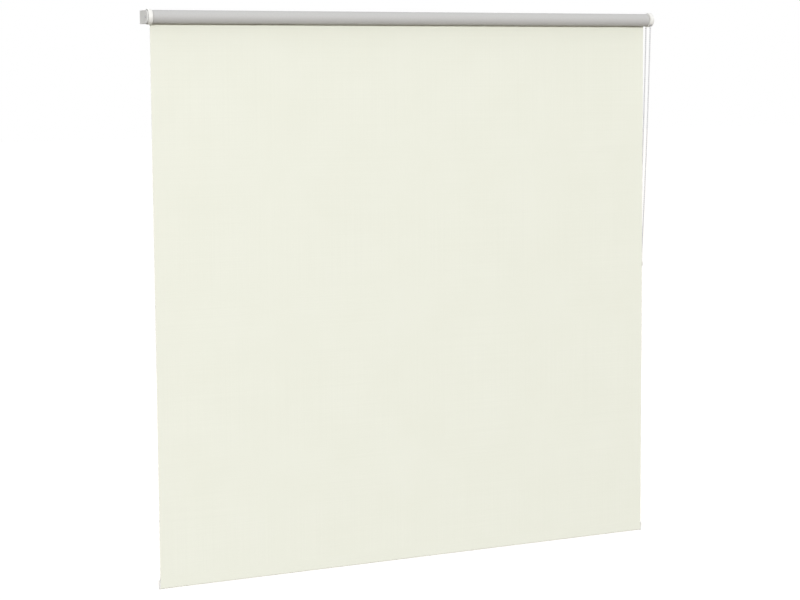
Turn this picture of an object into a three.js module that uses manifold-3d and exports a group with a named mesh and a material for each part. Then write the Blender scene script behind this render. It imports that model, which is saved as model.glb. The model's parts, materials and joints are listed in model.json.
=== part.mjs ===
// A blackout roller blind. A bead chain turns a sprocket, whose clutch turns a tube that winds the cloth up
// between two wall brackets.
// Millimetres. +X is to the right, +Y goes into the wall and +Z is up. The origin lies on the wall's face,
// midway between the brackets, level with the roller's axis.

import * as THREE from "three";
import { mergeVertices } from "three/addons/utils/BufferGeometryUtils.js";
import Module from "manifold-3d";

const wasm = await Module();
wasm.setup();

// Whole blind
const blindHeight = 1500; // from the top of the wound cloth to the lowest edge of the hem
const clothWidth = 1459;
const axisToWall = 55;

// Facets round a turned piece
const tubeSides = 36;
const discSides = 32;
const plugSides = 24;
const pinSides = 16;
const screwSides = 8;
const barSides = 24;
const wireSides = 5;

// Clearances
const seatGap = 0.3; // between a piece and the one it seats on
const runningGap = 0.3; // between a turning piece and a fixed one
const cutOverrun = 1; // how far a cutter runs past the face that it cuts

// Cloth
const clothThickness = 0.38;
const layerGap = 0.42;
const woundTurns = 1;
const tapeWidth = 12;
const tapeThickness = 0.1;
const tapeGap = 0.1;

// Tube
const tubeRadius = 16;
const tubeWall = 1.2;
const keyRibCount = 4;
const keyRibWidth = 1.6;
const keyRibHeight = 1.5;

// Plugs in the tube's ends
const plugFlange = 1;
const finWidth = 2;
const idlePlugLength = 38;
const hubLength = 40;

// Round end covers
const discRadius = 20;
const discDepth = 11.5;
const discWall = 1.5;
const discFillet = 1.2;
const pegRadius = 1.4;
const pegBossRadius = 2.7;
const pegSpacing = 24;

// Brackets
const plateThickness = 2;
const armHeight = 34;
const flangeWidth = 30;
const flangeCorner = 4;
const bendRadius = 1.5;
const gussetLeg = 8;
const gussetWidth = 3;
const bracketScrewSpacing = 19;
const slotLength = 7;

// Wood screws
const screwLength = 25;
const screwShank = 1.9;
const screwHead = 3.9;
const screwHeadHeight = 2.4;
const screwTip = 5;
const recessWidth = 0.9;
const recessSpan = 4.2;
const recessDepth = 1.5;
const screwHoleRadius = screwShank + seatGap;

// Idle pin and its spring
const pinRadius = 3;
const pinProud = 1.6; // past the bracket's outer face
const pinTipChamfer = 0.6;
const pinTravel = 9;
const pinCollar = 2;
const pinShoulder = 4; // from the tube's end in to the face that stops the collar
const pinTailRadius = 2.3;
const chamberWall = 1.6; // round the idle spring
const capFlange = 1.2;
const capSpigot = 4;
const capWall = 1.5;
const idleWireRadius = 0.4;
const idleCurls = 8;
const bushWall = 1.6;
const bushFlangeRadius = 7;
const bushFlange = 1.2;

// Chain and the wheels that it runs on
const beadPitch = 6;
const beadRadius = 2.25;
const chainCordRadius = 0.65;
const beadsAroundSprocket = 12;
const chainDrop = 700; // from the roller's axis to the tensioner's pulley
const chainSag = 4.5;
const strandGap = 1.35; // on each side of the beads in the housing's openings
const sprocketWidth = 6.4;
const toothHeight = 1.6; // past the beads' pitch circle
const cordGrooveDepth = 1.6;
const pocketFlare = 0.6;
const pulleyPitchRadius = 8;
const pulleyWidth = 7;
const pulleyRim = 2; // past the beads' pitch circle
const grooveGap = 0.36; // round the beads in the pulley's groove
const pulleyToWall = 16;

// Clutch, from the core outwards
const coreRadius = 4.2;
const coreScrewRadius = 1.2;
const coreScrewDepth = 12;
const coreScrewHead = 3.6;
const wrapWireRadius = 0.45;
const wrapCurls = 5;
const wrapPitch = 1.35;
const wrapSpringGap = 1.6; // between the two springs
const sleeveWall = 1.6;
const slotHalfAngle = THREE.MathUtils.degToRad(30);
const tangHalfAngle = THREE.MathUtils.degToRad(21);
const driveRibWidth = 2.8;
const hubBarrelWall = 1.6;
const sleeveRootGap = 2.5; // from the tube's end to the first curl
const hubEndWall = 2;
const guardWall = 1.2;
const reliefDepth = 1.6;
const reliefWall = 3; // left inside and outside the relief ring
const bossSide = 12;
const lipWall = 1.2;
const lipDepth = 1.8;
const washerThickness = 1;

// Tensioner
const tensionerWidth = 24;
const tensionerHeight = 56;
const tensionerBase = 2.5;
const tensionerCorner = 5;
const tensionerScrewSpacing = 40;
const cheekThickness = 2.2;
const cheekRadius = 8;
const axleRadius = 2;
const axleHeadRadius = 3.4;
const axleHead = 1.2;

// Hem and bottom bar
const hemHeight = 32;
const barHeight = 22;
const barDepth = 4;
const barWall = 0.9;
const capProud = 3;
const capLip = 0.7; // past the bar's outline
const capBevel = 0.6;
const spigotLength = 12;

// Sizes that follow from those above
const halfWidth = clothWidth / 2;
const tubeBore = tubeRadius - tubeWall;
const woundStart = tubeRadius + tapeGap + tapeThickness + tapeGap;
const layerPitch = clothThickness + layerGap;
const rollRadius = woundStart + clothThickness + woundTurns * layerPitch;
const hemBottom = rollRadius - blindHeight;
const hemTop = hemBottom + hemHeight;
const hangOffset = rollRadius - clothThickness / 2;

const flangeStart = seatGap;
const flangeEnd = flangeStart + plugFlange;
const discStart = flangeEnd + runningGap;
const discEnd = discStart + discDepth;
const plateStart = discEnd + seatGap;
const plateEnd = plateStart + plateThickness;

const wrapRadius = coreRadius + runningGap + wrapWireRadius;
const sleeveInner = wrapRadius + wrapWireRadius + runningGap;
const sleeveOuter = sleeveInner + sleeveWall;
const hubBore = sleeveOuter + runningGap;
const plugCore = hubBore + hubBarrelWall;
const chamberRadius = plugCore - chamberWall;
const capBore = chamberRadius - seatGap - capWall;
const finTip = tubeBore - seatGap;
const armHalf = armHeight / 2;

const coverEnd = discStart + discWall - seatGap;
const sprocketStart = coverEnd + runningGap;
const sprocketEnd = sprocketStart + sprocketWidth;
const chainPlane = (sprocketStart + sprocketEnd) / 2;
const housingFloor = sprocketEnd + runningGap;
const pitchRadius = (beadsAroundSprocket * beadPitch) / (2 * Math.PI);
const sprocketRadius = pitchRadius + toothHeight;
const pocketSides = 8;
const pocketRadius = (beadRadius + runningGap) / Math.cos(Math.PI / pocketSides);
const wrapSpringLength = wrapCurls * wrapPitch;
const sleeveEnd = -(sleeveRootGap + 2 * wrapSpringLength + wrapSpringGap + runningGap);
const hubWallFace = sleeveEnd - runningGap;
const hubWallBack = hubWallFace - hubEndWall;
const coreEnd = hubWallBack - runningGap;
const pulleyOffset = axisToWall - pulleyToWall;

const up = new THREE.Vector3(0, 0, 1);
const capMaterial = plastic(0xf2f1ee);
const clutchMaterial = plastic(0xe9e8e4);
const steel = metal(0xb9bcc0, 0.35);
const plated = metal(0xd8d9da, 0.5);
const aluminium = metal(0xc4c6c9, 0.4);
const cloth = new THREE.MeshStandardMaterial({ color: 0xeeefe1, roughness: 0.9 });
const clothBack = new THREE.MeshStandardMaterial({ color: 0xc9cac9, roughness: 0.6 });

function plastic(color) {
  return new THREE.MeshStandardMaterial({ color, roughness: 0.45 });
}

function metal(color, roughness) {
  return new THREE.MeshStandardMaterial({ color, roughness, metalness: 1 });
}

// Joins and cuts

function solidOf(geometry) {
  const bare = geometry.index ? geometry.toNonIndexed() : geometry.clone();
  bare.deleteAttribute("normal");
  bare.deleteAttribute("uv");
  const merged = mergeVertices(bare, 1e-4);
  const mesh = new wasm.Mesh({
    numProp: 3,
    vertProperties: merged.attributes.position.array,
    triVerts: new Uint32Array(merged.index.array),
  });
  return new wasm.Manifold(mesh);
}

function geometryOf(solid) {
  const mesh = solid.getMesh();
  const geometry = new THREE.BufferGeometry();
  geometry.setAttribute("position", new THREE.BufferAttribute(mesh.vertProperties, 3));
  geometry.setIndex(new THREE.BufferAttribute(mesh.triVerts, 1));
  geometry.computeVertexNormals();
  return geometry;
}

function join(...geometries) {
  return geometryOf(geometries.map(solidOf).reduce((whole, next) => whole.add(next)));
}

function cut(geometry, ...cutters) {
  return geometryOf(cutters.map(solidOf).reduce((whole, next) => whole.subtract(next), solidOf(geometry)));
}

function common(first, second) {
  return geometryOf(solidOf(first).intersect(solidOf(second)));
}

// Basic shapes, each with its length along local Z

function revolve(profile, segments) {
  const doubleArea = profile.reduce((sum, [r, z], i) => {
    const [nextR, nextZ] = profile[(i + 1) % profile.length];
    return sum + r * nextZ - nextR * z;
  }, 0);
  const ordered = doubleArea > 0 ? profile : [...profile].reverse();
  const closed = [...ordered, ordered[0]].map(([r, z]) => new THREE.Vector2(r, z));
  return new THREE.LatheGeometry(closed, segments).rotateX(Math.PI / 2);
}

function rod(radius, from, to, segments = pinSides) {
  const length = to - from;
  const geometry = new THREE.CylinderGeometry(radius, radius, length, segments);
  return geometry.rotateX(Math.PI / 2).translate(0, 0, from + length / 2);
}

function block(from, to) {
  const size = to.map((value, i) => value - from[i]);
  const middle = to.map((value, i) => (value + from[i]) / 2);
  return new THREE.BoxGeometry(...size).translate(...middle);
}

function prism(outline, from, to, holes = []) {
  const shape = new THREE.Shape(outline);
  shape.holes = holes.map((points) => new THREE.Path(points));
  const geometry = new THREE.ExtrudeGeometry(shape, { depth: to - from, bevelEnabled: false });
  return geometry.translate(0, 0, from);
}

// Points along an arc, both ends included.
function arc(x, y, radius, start, end, steps) {
  return Array.from({ length: steps + 1 }, (_, i) => {
    const angle = start + ((end - start) * i) / steps;
    return new THREE.Vector2(x + radius * Math.cos(angle), y + radius * Math.sin(angle));
  });
}

function pairs(points) {
  return points.map((p) => [p.x, p.y]);
}

// An upright slot: straight sides with a half circle at each end.
function slotOutline(radius, halfHeight, steps) {
  const rise = halfHeight - radius;
  return [
    ...arc(0, rise, radius, 0, Math.PI, steps),
    ...arc(0, -rise, radius, Math.PI, 2 * Math.PI, steps),
  ];
}

// A round wire along a smooth open curve through the points.
function wire(points, radius, sides, steps) {
  const section = new THREE.Shape(arc(0, 0, radius, 0, 2 * Math.PI, sides).slice(1));
  const extrudePath = new THREE.CatmullRomCurve3(points, false, "centripetal");
  return new THREE.ExtrudeGeometry(section, { steps, extrudePath, bevelEnabled: false });
}

function piece(name, geometry, material) {
  const mesh = new THREE.Mesh(geometry, material);
  mesh.name = name;
  return mesh;
}

function group(...children) {
  const made = new THREE.Group();
  made.add(...children);
  return made;
}

// The frame of one end of the roller: local Z runs outwards along the axis from the tube's end, local Y is up,
// and the wall lies on local X's side of the same sign as side.
function endFrame(side, ...children) {
  const made = group(...children);
  const towardsWall = new THREE.Vector3(0, side, 0);
  const outwards = new THREE.Vector3(side, 0, 0);
  made.quaternion.setFromRotationMatrix(new THREE.Matrix4().makeBasis(towardsWall, up, outwards));
  made.position.set(side * halfWidth, -axisToWall, 0);
  return made;
}

// The roller's own frame: local X goes to the wall, local Y is up and local Z runs along the axis.
function rollerFrame(...children) {
  const made = endFrame(1, ...children);
  made.position.x = 0;
  return made;
}

// Tube, tape and cloth

function rollerTube() {
  const bore = prism(arc(0, 0, tubeRadius, 0, 2 * Math.PI, tubeSides).slice(1), -halfWidth, halfWidth, [
    arc(0, 0, tubeBore, 0, 2 * Math.PI, tubeSides).slice(1),
  ]);
  const ribs = keyAngles().map((angle) => {
    const from = [tubeBore - keyRibHeight, -keyRibWidth / 2, -halfWidth];
    const to = [tubeRadius - tubeWall / 2, keyRibWidth / 2, halfWidth];
    return block(from, to).rotateZ(angle);
  });
  return join(bore, ...ribs);
}

function keyAngles() {
  return Array.from({ length: keyRibCount }, (_, i) => ((i + 0.5) * 2 * Math.PI) / keyRibCount);
}

function fixingTape() {
  const inner = tubeRadius + tapeGap;
  const middle = woundTurns * 2 * Math.PI;
  const half = tapeWidth / 2 / inner;
  const steps = Math.max(2, Math.ceil((2 * half * tubeSides) / (2 * Math.PI)));
  const outline = [
    ...arc(0, 0, inner, middle - half, middle + half, steps),
    ...arc(0, 0, inner + tapeThickness, middle + half, middle - half, steps),
  ];
  return prism(outline, -halfWidth, halfWidth);
}

// The wound cloth: it leaves the roll at angle zero, on the wall's side, and goes round and inwards to the tape.
function clothRoll() {
  const steps = Math.round(woundTurns * tubeSides);
  const spiral = (outermost) =>
    Array.from({ length: steps + 1 }, (_, i) => {
      const angle = (woundTurns * 2 * Math.PI * i) / steps;
      const radius = outermost - (woundTurns * layerPitch * i) / steps;
      return new THREE.Vector2(radius * Math.cos(angle), radius * Math.sin(angle));
    });
  printLeastGap("wound cloth", spiral(hangOffset), clothThickness, tubeSides / 2);
  const outline = [...spiral(rollRadius), ...spiral(rollRadius - clothThickness).reverse()];
  return prism(outline, -halfWidth, halfWidth);
}

// Measures how near a wound strip or wire comes to itself between points at least so many steps apart.
function printLeastGap(name, points, thickness, apart) {
  const gaps = points.flatMap((point, i) =>
    points.slice(i + apart).map((other) => point.distanceTo(other) - thickness),
  );
  console.log(`least gap of the ${name} to itself: ${Math.min(...gaps).toFixed(2)} mm`);
}

function clothDrop() {
  const from = [hangOffset - clothThickness / 2, hemTop + seatGap, -halfWidth];
  const to = [hangOffset + clothThickness / 2, -seatGap, halfWidth];
  return block(from, to);
}

// Hem and bar, in the roller's frame. The bar lies behind the cloth, so that the hem is flat in front.

const pocketHalfDepth = barDepth / 2 + seatGap;
const pocketHalfHeight = barHeight / 2 + seatGap;
const barMiddle = hemBottom + clothThickness + pocketHalfHeight;
const barOffset = hangOffset + clothThickness / 2 + pocketHalfDepth;

// About the bar's middle: a flat front, a round bottom, and a flap that runs straight from the bar's back to the
// hem's top, where it meets the front.
function hemPocket() {
  const rise = (barHeight - barDepth) / 2;
  const peak = hemTop - barMiddle;
  const inside = pocketHalfDepth;
  const outside = inside + clothThickness;
  const meeting = new THREE.Vector2(-inside, peak - rise);
  const touch = meeting.angle() - Math.acos(outside / meeting.length());
  const around = (radius) => [
    ...arc(0, -rise, radius, Math.PI, 2 * Math.PI, barSides / 2),
    ...arc(0, rise, radius, 0, touch, 2),
  ];
  const outer = [new THREE.Vector2(-inside, peak), new THREE.Vector2(-outside, peak), ...around(outside)];
  const inner = [new THREE.Vector2(-inside, rise + inside / Math.tan(touch / 2)), ...around(inside)];
  return prism(outer, -halfWidth, halfWidth, [inner]).translate(barOffset, barMiddle, 0);
}

function bottomBar() {
  const outer = slotOutline(barDepth / 2, barHeight / 2, barSides / 2);
  const inner = slotOutline(barDepth / 2 - barWall, barHeight / 2 - barWall, barSides / 2);
  return prism(outer, -halfWidth, halfWidth, [inner]).translate(barOffset, barMiddle, 0);
}

// One end cap of the bar, in the frame of its end.
function barCap(side) {
  const halfDepth = pocketHalfDepth + clothThickness + capLip - capBevel;
  const halfHeight = pocketHalfHeight + clothThickness + capLip - capBevel;
  const face = new THREE.ExtrudeGeometry(new THREE.Shape(slotOutline(halfDepth, halfHeight, barSides / 2)), {
    depth: capProud - 2 * capBevel,
    bevelThickness: capBevel,
    bevelSize: capBevel,
    bevelSegments: 1,
  });
  const fit = barWall + seatGap;
  const spigot = prism(
    slotOutline(barDepth / 2 - fit, barHeight / 2 - fit, pinSides / 2),
    -spigotLength,
    seatGap + capProud / 2,
  );
  const cap = join(face.translate(0, 0, seatGap + capBevel), spigot);
  return cap.translate(side * barOffset, barMiddle, 0);
}

// Plugs that key into the tube

// Two fins beside each of the tube's ribs carry the turning force.
function fins(length) {
  const offset = keyRibWidth / 2 + seatGap + finWidth / 2;
  return keyAngles().flatMap((angle) =>
    [-offset, offset].map((shift) => {
      const from = [plugCore - hubBarrelWall / 2, shift - finWidth / 2, -length];
      const to = [Math.sqrt(finTip ** 2 - (offset + finWidth / 2) ** 2), shift + finWidth / 2, flangeEnd];
      return block(from, to).rotateZ(angle);
    }),
  );
}

function plugBarrel(length, boreProfile) {
  const outside = [
    [plugCore, -length],
    [plugCore, flangeStart],
    [tubeRadius, flangeStart],
    [tubeRadius, flangeEnd],
  ];
  return join(revolve([...outside, ...boreProfile], plugSides), ...fins(length));
}

function idlePlug() {
  return plugBarrel(idlePlugLength, [
    [pinRadius + runningGap, flangeEnd],
    [pinRadius + runningGap, -pinShoulder],
    [chamberRadius, -pinShoulder],
    [chamberRadius, -idlePlugLength],
  ]);
}

// The cap that closes the plug's back end: a cup that holds the spring, on a flange against the barrel.
const capFace = -idlePlugLength - seatGap;

function springCap() {
  const profile = [
    [pinTailRadius + runningGap, capFace - capFlange],
    [chamberRadius + chamberWall / 2, capFace - capFlange],
    [chamberRadius + chamberWall / 2, capFace],
    [capBore + capWall, capFace],
    [capBore + capWall, capFace + capSpigot],
    [capBore, capFace + capSpigot],
    [capBore, capFace],
    [pinTailRadius + runningGap, capFace],
  ];
  return revolve(profile, pinSides);
}

// The collar's outer face stops against the plug's shoulder.
const collarFace = -pinShoulder - seatGap;
const collarBack = collarFace - pinCollar;

function idlePin() {
  const tip = plateEnd + pinProud;
  const profile = [
    [0, -idlePlugLength],
    [pinTailRadius, -idlePlugLength],
    [pinTailRadius, collarBack],
    [chamberRadius - runningGap, collarBack],
    [chamberRadius - runningGap, collarFace],
    [pinRadius, collarFace],
    [pinRadius, tip - pinTipChamfer],
    [pinRadius - pinTipChamfer, tip],
    [0, tip],
  ];
  return revolve(profile, pinSides);
}

// Points of a coil that climbs along local Z from one height to another.
function coil(radius, curls, from, to, steps, startAngle = 0) {
  return Array.from({ length: Math.round(curls * steps) + 1 }, (_, i) => {
    const share = i / Math.round(curls * steps);
    const angle = startAngle + share * curls * 2 * Math.PI;
    const height = from + (to - from) * share;
    return new THREE.Vector3(radius * Math.cos(angle), radius * Math.sin(angle), height);
  });
}

function idleSpring() {
  const steps = 8;
  const from = capFace + seatGap + idleWireRadius;
  const to = collarBack - seatGap - idleWireRadius;
  const points = coil((pinTailRadius + capBore) / 2, idleCurls, from, to, steps);
  printLeastGap("idle spring", points, 2 * idleWireRadius, steps / 2);
  return wire(points, idleWireRadius, wireSides, idleCurls * steps);
}

// Idle end fittings on the bracket

function idleBush() {
  const bore = pinRadius + runningGap;
  const barrel = bore + bushWall;
  const profile = [
    [bore, plateEnd],
    [barrel, plateEnd],
    [barrel, plateStart - seatGap],
    [bushFlangeRadius, plateStart - seatGap],
    [bushFlangeRadius, plateStart - seatGap - bushFlange],
    [bore, plateStart - seatGap - bushFlange],
  ];
  return revolve(profile, pinSides);
}

// The outline of a round shell that opens outwards, its edges rounded.
function shellProfile(holeRadius, front, back, floor) {
  const quarter = Math.PI / 2;
  const edge = discRadius - discFillet;
  return [
    [holeRadius, front],
    ...pairs(arc(edge, front + discFillet, discFillet, -quarter, 0, 3)),
    ...pairs(arc(edge, back - discFillet, discFillet, 0, quarter, 3)),
    [discRadius - discWall, back],
    [discRadius - discWall, floor],
    [holeRadius, floor],
  ];
}

function leftEndCover() {
  const floor = discStart + discWall;
  const hole = pinRadius + 2 * runningGap;
  const shell = revolve(shellProfile(hole, discStart, discEnd, floor), discSides);
  const pegs = [-1, 1].flatMap((sign) => {
    const height = (sign * pegSpacing) / 2;
    const boss = rod(pegBossRadius, floor - discWall / 2, discEnd, screwSides);
    const peg = rod(pegRadius, discEnd - pegRadius, plateEnd - seatGap, screwSides);
    return [boss.translate(0, height, 0), peg.translate(0, height, 0)];
  });
  return join(shell, ...pegs);
}

// Brackets: a bent plate whose arm carries the roller's end and whose flange turns inwards along the wall

function bentPlate() {
  const outer = bendRadius + plateThickness;
  const flangeTip = plateEnd - flangeWidth;
  const innerFace = axisToWall - plateThickness;
  const outline = [
    new THREE.Vector2(-armHalf, plateStart),
    ...arc(innerFace - bendRadius, plateStart - bendRadius, bendRadius, Math.PI / 2, 0, 4),
    new THREE.Vector2(innerFace, flangeTip),
    new THREE.Vector2(axisToWall, flangeTip),
    ...arc(axisToWall - outer, plateEnd - outer, outer, 0, Math.PI / 2, 6),
    new THREE.Vector2(-armHalf, plateEnd),
  ];
  return prism(outline, -armHalf, armHalf).rotateX(Math.PI / 2);
}

// The arm's side view: a bar with a round end about the roller's axis.
function armOutline() {
  const end = arc(0, 0, armHalf, Math.PI / 2, (3 * Math.PI) / 2, 16);
  const wall = axisToWall + cutOverrun;
  return [...end, new THREE.Vector2(wall, -armHalf), new THREE.Vector2(wall, armHalf)];
}

function gusset() {
  const x = axisToWall - plateThickness;
  const corner = [
    new THREE.Vector2(x + plateThickness / 2, plateStart + plateThickness / 2),
    new THREE.Vector2(x - gussetLeg, plateStart + plateThickness / 2),
    new THREE.Vector2(x - gussetLeg, plateStart),
    new THREE.Vector2(x, plateStart - gussetLeg),
    new THREE.Vector2(x + plateThickness / 2, plateStart - gussetLeg),
  ];
  return prism(corner, -gussetWidth / 2, gussetWidth / 2).rotateX(Math.PI / 2);
}

const screwAcross = plateStart - flangeWidth / 2; // where the screws stand along the flange

function flangeSlots() {
  return [-1, 1].map((sign) => {
    const y = (sign * bracketScrewSpacing) / 2;
    const outline = slotOutline(screwHoleRadius, slotLength / 2, 8);
    const slot = prism(outline, -plateThickness - cutOverrun, cutOverrun);
    return slot.rotateX(Math.PI / 2).rotateZ(Math.PI / 2).translate(axisToWall, y, screwAcross);
  });
}

// The two inner corners of the flange, rounded off by keeping what lies inside this outline.
function flangeOutline() {
  const tip = plateEnd - flangeWidth;
  const quarter = Math.PI / 2;
  const outline = [
    ...arc(armHalf - flangeCorner, tip + flangeCorner, flangeCorner, 0, -quarter, 4),
    ...arc(flangeCorner - armHalf, tip + flangeCorner, flangeCorner, -quarter, -2 * quarter, 4),
    new THREE.Vector2(-armHalf - cutOverrun, plateEnd + cutOverrun),
    new THREE.Vector2(armHalf + cutOverrun, plateEnd + cutOverrun),
  ];
  const reach = axisToWall + armHalf + cutOverrun;
  const sheet = prism(outline, -reach, reach);
  return sheet.applyMatrix4(
    new THREE.Matrix4().makeBasis(new THREE.Vector3(0, 1, 0), up, new THREE.Vector3(1, 0, 0)),
  );
}

function bracket(side, ...holes) {
  const arm = prism(armOutline(), plateStart - flangeWidth - cutOverrun, plateEnd + cutOverrun);
  const trimmed = common(common(bentPlate(), arm), flangeOutline());
  const whole = cut(join(trimmed, gusset()), ...flangeSlots(), ...holes);
  return side > 0 ? whole : mirrored(whole);
}

// The same shape with the wall on local X's other side.
function mirrored(geometry) {
  const turned = geometry.index ? geometry.toNonIndexed() : geometry.clone();
  const position = turned.getAttribute("position");
  for (let i = 0; i < position.count; i += 3) {
    const corners = [0, 2, 1].map((k) => new THREE.Vector3().fromBufferAttribute(position, i + k));
    corners.forEach((corner, k) => position.setXYZ(i + k, -corner.x, corner.y, corner.z));
  }
  turned.computeVertexNormals();
  return turned;
}

function idleHoles() {
  const from = plateStart - cutOverrun;
  const to = plateEnd + cutOverrun;
  const bush = rod(pinRadius + runningGap + bushWall + seatGap, from, to, pinSides);
  const pegs = [-1, 1].map((sign) =>
    rod(pegRadius + seatGap, from, to, screwSides).translate(0, (sign * pegSpacing) / 2, 0),
  );
  return [bush, ...pegs];
}

function driveHole() {
  const half = bossSide / 2 + seatGap;
  return block([-half, -half, plateStart - cutOverrun], [half, half, plateEnd + cutOverrun]);
}

// Clutch

function clutchHousing() {
  const back = discEnd - discFillet;
  const rim = discRadius - discWall;
  const profile = [
    [0, discEnd],
    [reliefStart(), discEnd],
    [reliefStart(), discEnd - reliefDepth],
    [rim - reliefWall, discEnd - reliefDepth],
    [rim - reliefWall, discEnd],
    ...pairs(arc(discRadius - discFillet, back, discFillet, Math.PI / 2, 0, 3)),
    [discRadius, sprocketStart],
    [rim, sprocketStart],
    [rim, housingFloor],
    [coreRadius, housingFloor],
    [coreRadius, coreEnd],
    [coreScrewRadius + seatGap, coreEnd],
    [coreScrewRadius + seatGap, coreEnd + coreScrewDepth + seatGap],
    [0, coreEnd + coreScrewDepth + seatGap],
  ];
  const shell = cut(revolve(profile, discSides), ...strandOpenings());
  const half = bossSide / 2;
  const boss = block([-half, -half, discEnd - reliefDepth / 2], [half, half, plateEnd - seatGap]);
  return join(shell, chainGuard(), boss);
}

function reliefStart() {
  return (bossSide / 2) * Math.SQRT2 + reliefWall / 2;
}

// Where the two strands of chain leave the housing's rim, with a tongue left between them.
function strandOpenings() {
  const half = beadRadius + strandGap;
  return [-1, 1].map((sign) => {
    const x = sign * (pitchRadius + runningGap / 2);
    const from = [x - half, -discRadius - cutOverrun, sprocketStart - cutOverrun];
    return block(from, [x + half, -pitchRadius, housingFloor]);
  });
}

// The wall that keeps the beads in the sprocket's pockets, round the top.
function chainGuard() {
  const inner = pitchRadius + beadRadius + 2 * runningGap;
  const past = THREE.MathUtils.degToRad(10);
  const outline = [
    ...arc(0, 0, inner + guardWall, -past, Math.PI + past, pinSides),
    ...arc(0, 0, inner, Math.PI + past, -past, pinSides),
  ];
  return prism(outline, sprocketStart, housingFloor + reliefDepth / 2);
}

function clutchCover() {
  const hole = hubBore;
  const front = discStart + discFillet / 2;
  const fillet = discFillet / 2;
  const lipOuter = discRadius - discWall - seatGap;
  const profile = [
    [hole, discStart],
    ...pairs(arc(discRadius - fillet, front, fillet, -Math.PI / 2, 0, 3)),
    [discRadius, coverEnd],
    [lipOuter, coverEnd],
    [lipOuter, coverEnd + lipDepth],
    [lipOuter - lipWall, coverEnd + lipDepth],
    [lipOuter - lipWall, coverEnd],
    [hole, coverEnd],
  ];
  const reach = discRadius + cutOverrun;
  const low = -(pitchRadius * Math.SQRT1_2);
  const gate = block([-reach, -reach, coverEnd], [reach, low, coverEnd + lipDepth + cutOverrun]);
  return cut(revolve(profile, discSides), gate);
}

function sprocket() {
  const bore = coreRadius + runningGap;
  const groove = pitchRadius - cordGrooveDepth;
  const half = 2 * chainCordRadius;
  const wheel = revolve(
    [
      [bore, sprocketStart],
      [sprocketRadius, sprocketStart],
      [sprocketRadius, chainPlane - half],
      [groove, chainPlane - half],
      [groove, chainPlane + half],
      [sprocketRadius, chainPlane + half],
      [sprocketRadius, sprocketEnd],
      [bore, sprocketEnd],
    ],
    beadsAroundSprocket * 2,
  );
  const pockets = Array.from({ length: beadsAroundSprocket }, (_, i) =>
    beadPocket().rotateZ(Math.PI / 2 + (i * 2 * Math.PI) / beadsAroundSprocket),
  );
  return join(cut(wheel, ...pockets), driveSleeve());
}

// Round under the bead, and flared towards the rim so that the bead can leave.
function beadPocket() {
  const mouth = toothHeight + cutOverrun;
  const profile = [
    ...pairs(arc(0, 0, pocketRadius, -Math.PI / 2, 0, 3)),
    [pocketRadius + pocketFlare, mouth],
    [0, mouth],
  ];
  return revolve(profile, pocketSides).rotateY(Math.PI / 2).translate(pitchRadius, 0, chainPlane);
}

// The sprocket's sleeve round the springs. Its slot holds their tangs.
function driveSleeve() {
  const start = Math.PI / 2 + slotHalfAngle;
  const end = Math.PI / 2 - slotHalfAngle + 2 * Math.PI;
  const outline = [
    ...arc(0, 0, sleeveOuter, start, end, pinSides),
    ...arc(0, 0, sleeveInner, end, start, pinSides),
  ];
  return prism(outline, sleeveEnd, sprocketStart + runningGap);
}

function clutchHub() {
  const barrel = plugBarrel(hubLength, [
    [hubBore, flangeEnd],
    [hubBore, hubWallFace],
    [coreRadius + runningGap, hubWallFace],
    [coreRadius + runningGap, hubWallBack],
    [hubBore, hubWallBack],
    [hubBore, -hubLength],
  ]);
  const inner = sleeveInner + runningGap;
  const rib = block(
    [-driveRibWidth / 2, inner, hubWallFace - hubEndWall / 2],
    [driveRibWidth / 2, (hubBore + plugCore) / 2, -sleeveRootGap / 2],
  );
  return join(barrel, rib);
}

// A spring round the core, with a tang at each end that stands out in the sleeve's slot.
function wrapSpring(start) {
  const steps = 12;
  const sweep = wrapCurls - (2 * tangHalfAngle) / (2 * Math.PI);
  const from = Math.PI / 2 + tangHalfAngle;
  const to = Math.PI / 2 - tangHalfAngle;
  const end = start - sweep * wrapPitch;
  const tangTip = sleeveOuter - wrapWireRadius;
  const tang = (angle, z) => new THREE.Vector3(tangTip * Math.cos(angle), tangTip * Math.sin(angle), z);
  const curls = coil(wrapRadius, sweep, start, end, steps, from);
  printLeastGap("wrap spring", curls, 2 * wrapWireRadius, steps / 2);
  return wire([tang(from, start), ...curls, tang(to, end)], wrapWireRadius, wireSides, curls.length + 3);
}

function retainingWasher() {
  const front = coreEnd - seatGap;
  const bore = coreScrewRadius + seatGap;
  const profile = [
    [bore, front],
    [sleeveOuter, front],
    [sleeveOuter, front - washerThickness],
    [bore, front - washerThickness],
  ];
  return revolve(profile, pinSides);
}

// A round-headed screw whose head's seat is at zero and whose shank runs along +Z.
function screw(shank, length, head, headHeight, tip) {
  const crown = pairs(arc(0, 0, 1, Math.PI, Math.PI / 2, 3)).map(([x, y]) => [y * head, x * headHeight]);
  const profile = [[0, length], [shank, length - tip], [shank, 0], [head, 0]].concat(
    crown.slice(0, -1).reverse(),
  );
  const half = recessWidth / 2;
  const reach = (recessSpan / 2) * (head / screwHead);
  const floor = recessDepth - headHeight;
  const top = -headHeight - cutOverrun;
  const recess = [
    block([-reach, -half, top], [reach, half, floor]),
    block([-half, -reach, top], [half, reach, floor]),
  ];
  return cut(revolve(profile, screwSides), ...recess);
}

function coreScrew() {
  const length = coreScrewDepth + washerThickness + seatGap;
  const seat = coreEnd - 2 * seatGap - washerThickness;
  const made = screw(coreScrewRadius, length, coreScrewHead, screwHeadHeight, coreScrewRadius);
  return made.translate(0, 0, seat);
}

// Chain: one endless loop over the sprocket and round the tensioner's pulley

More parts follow.
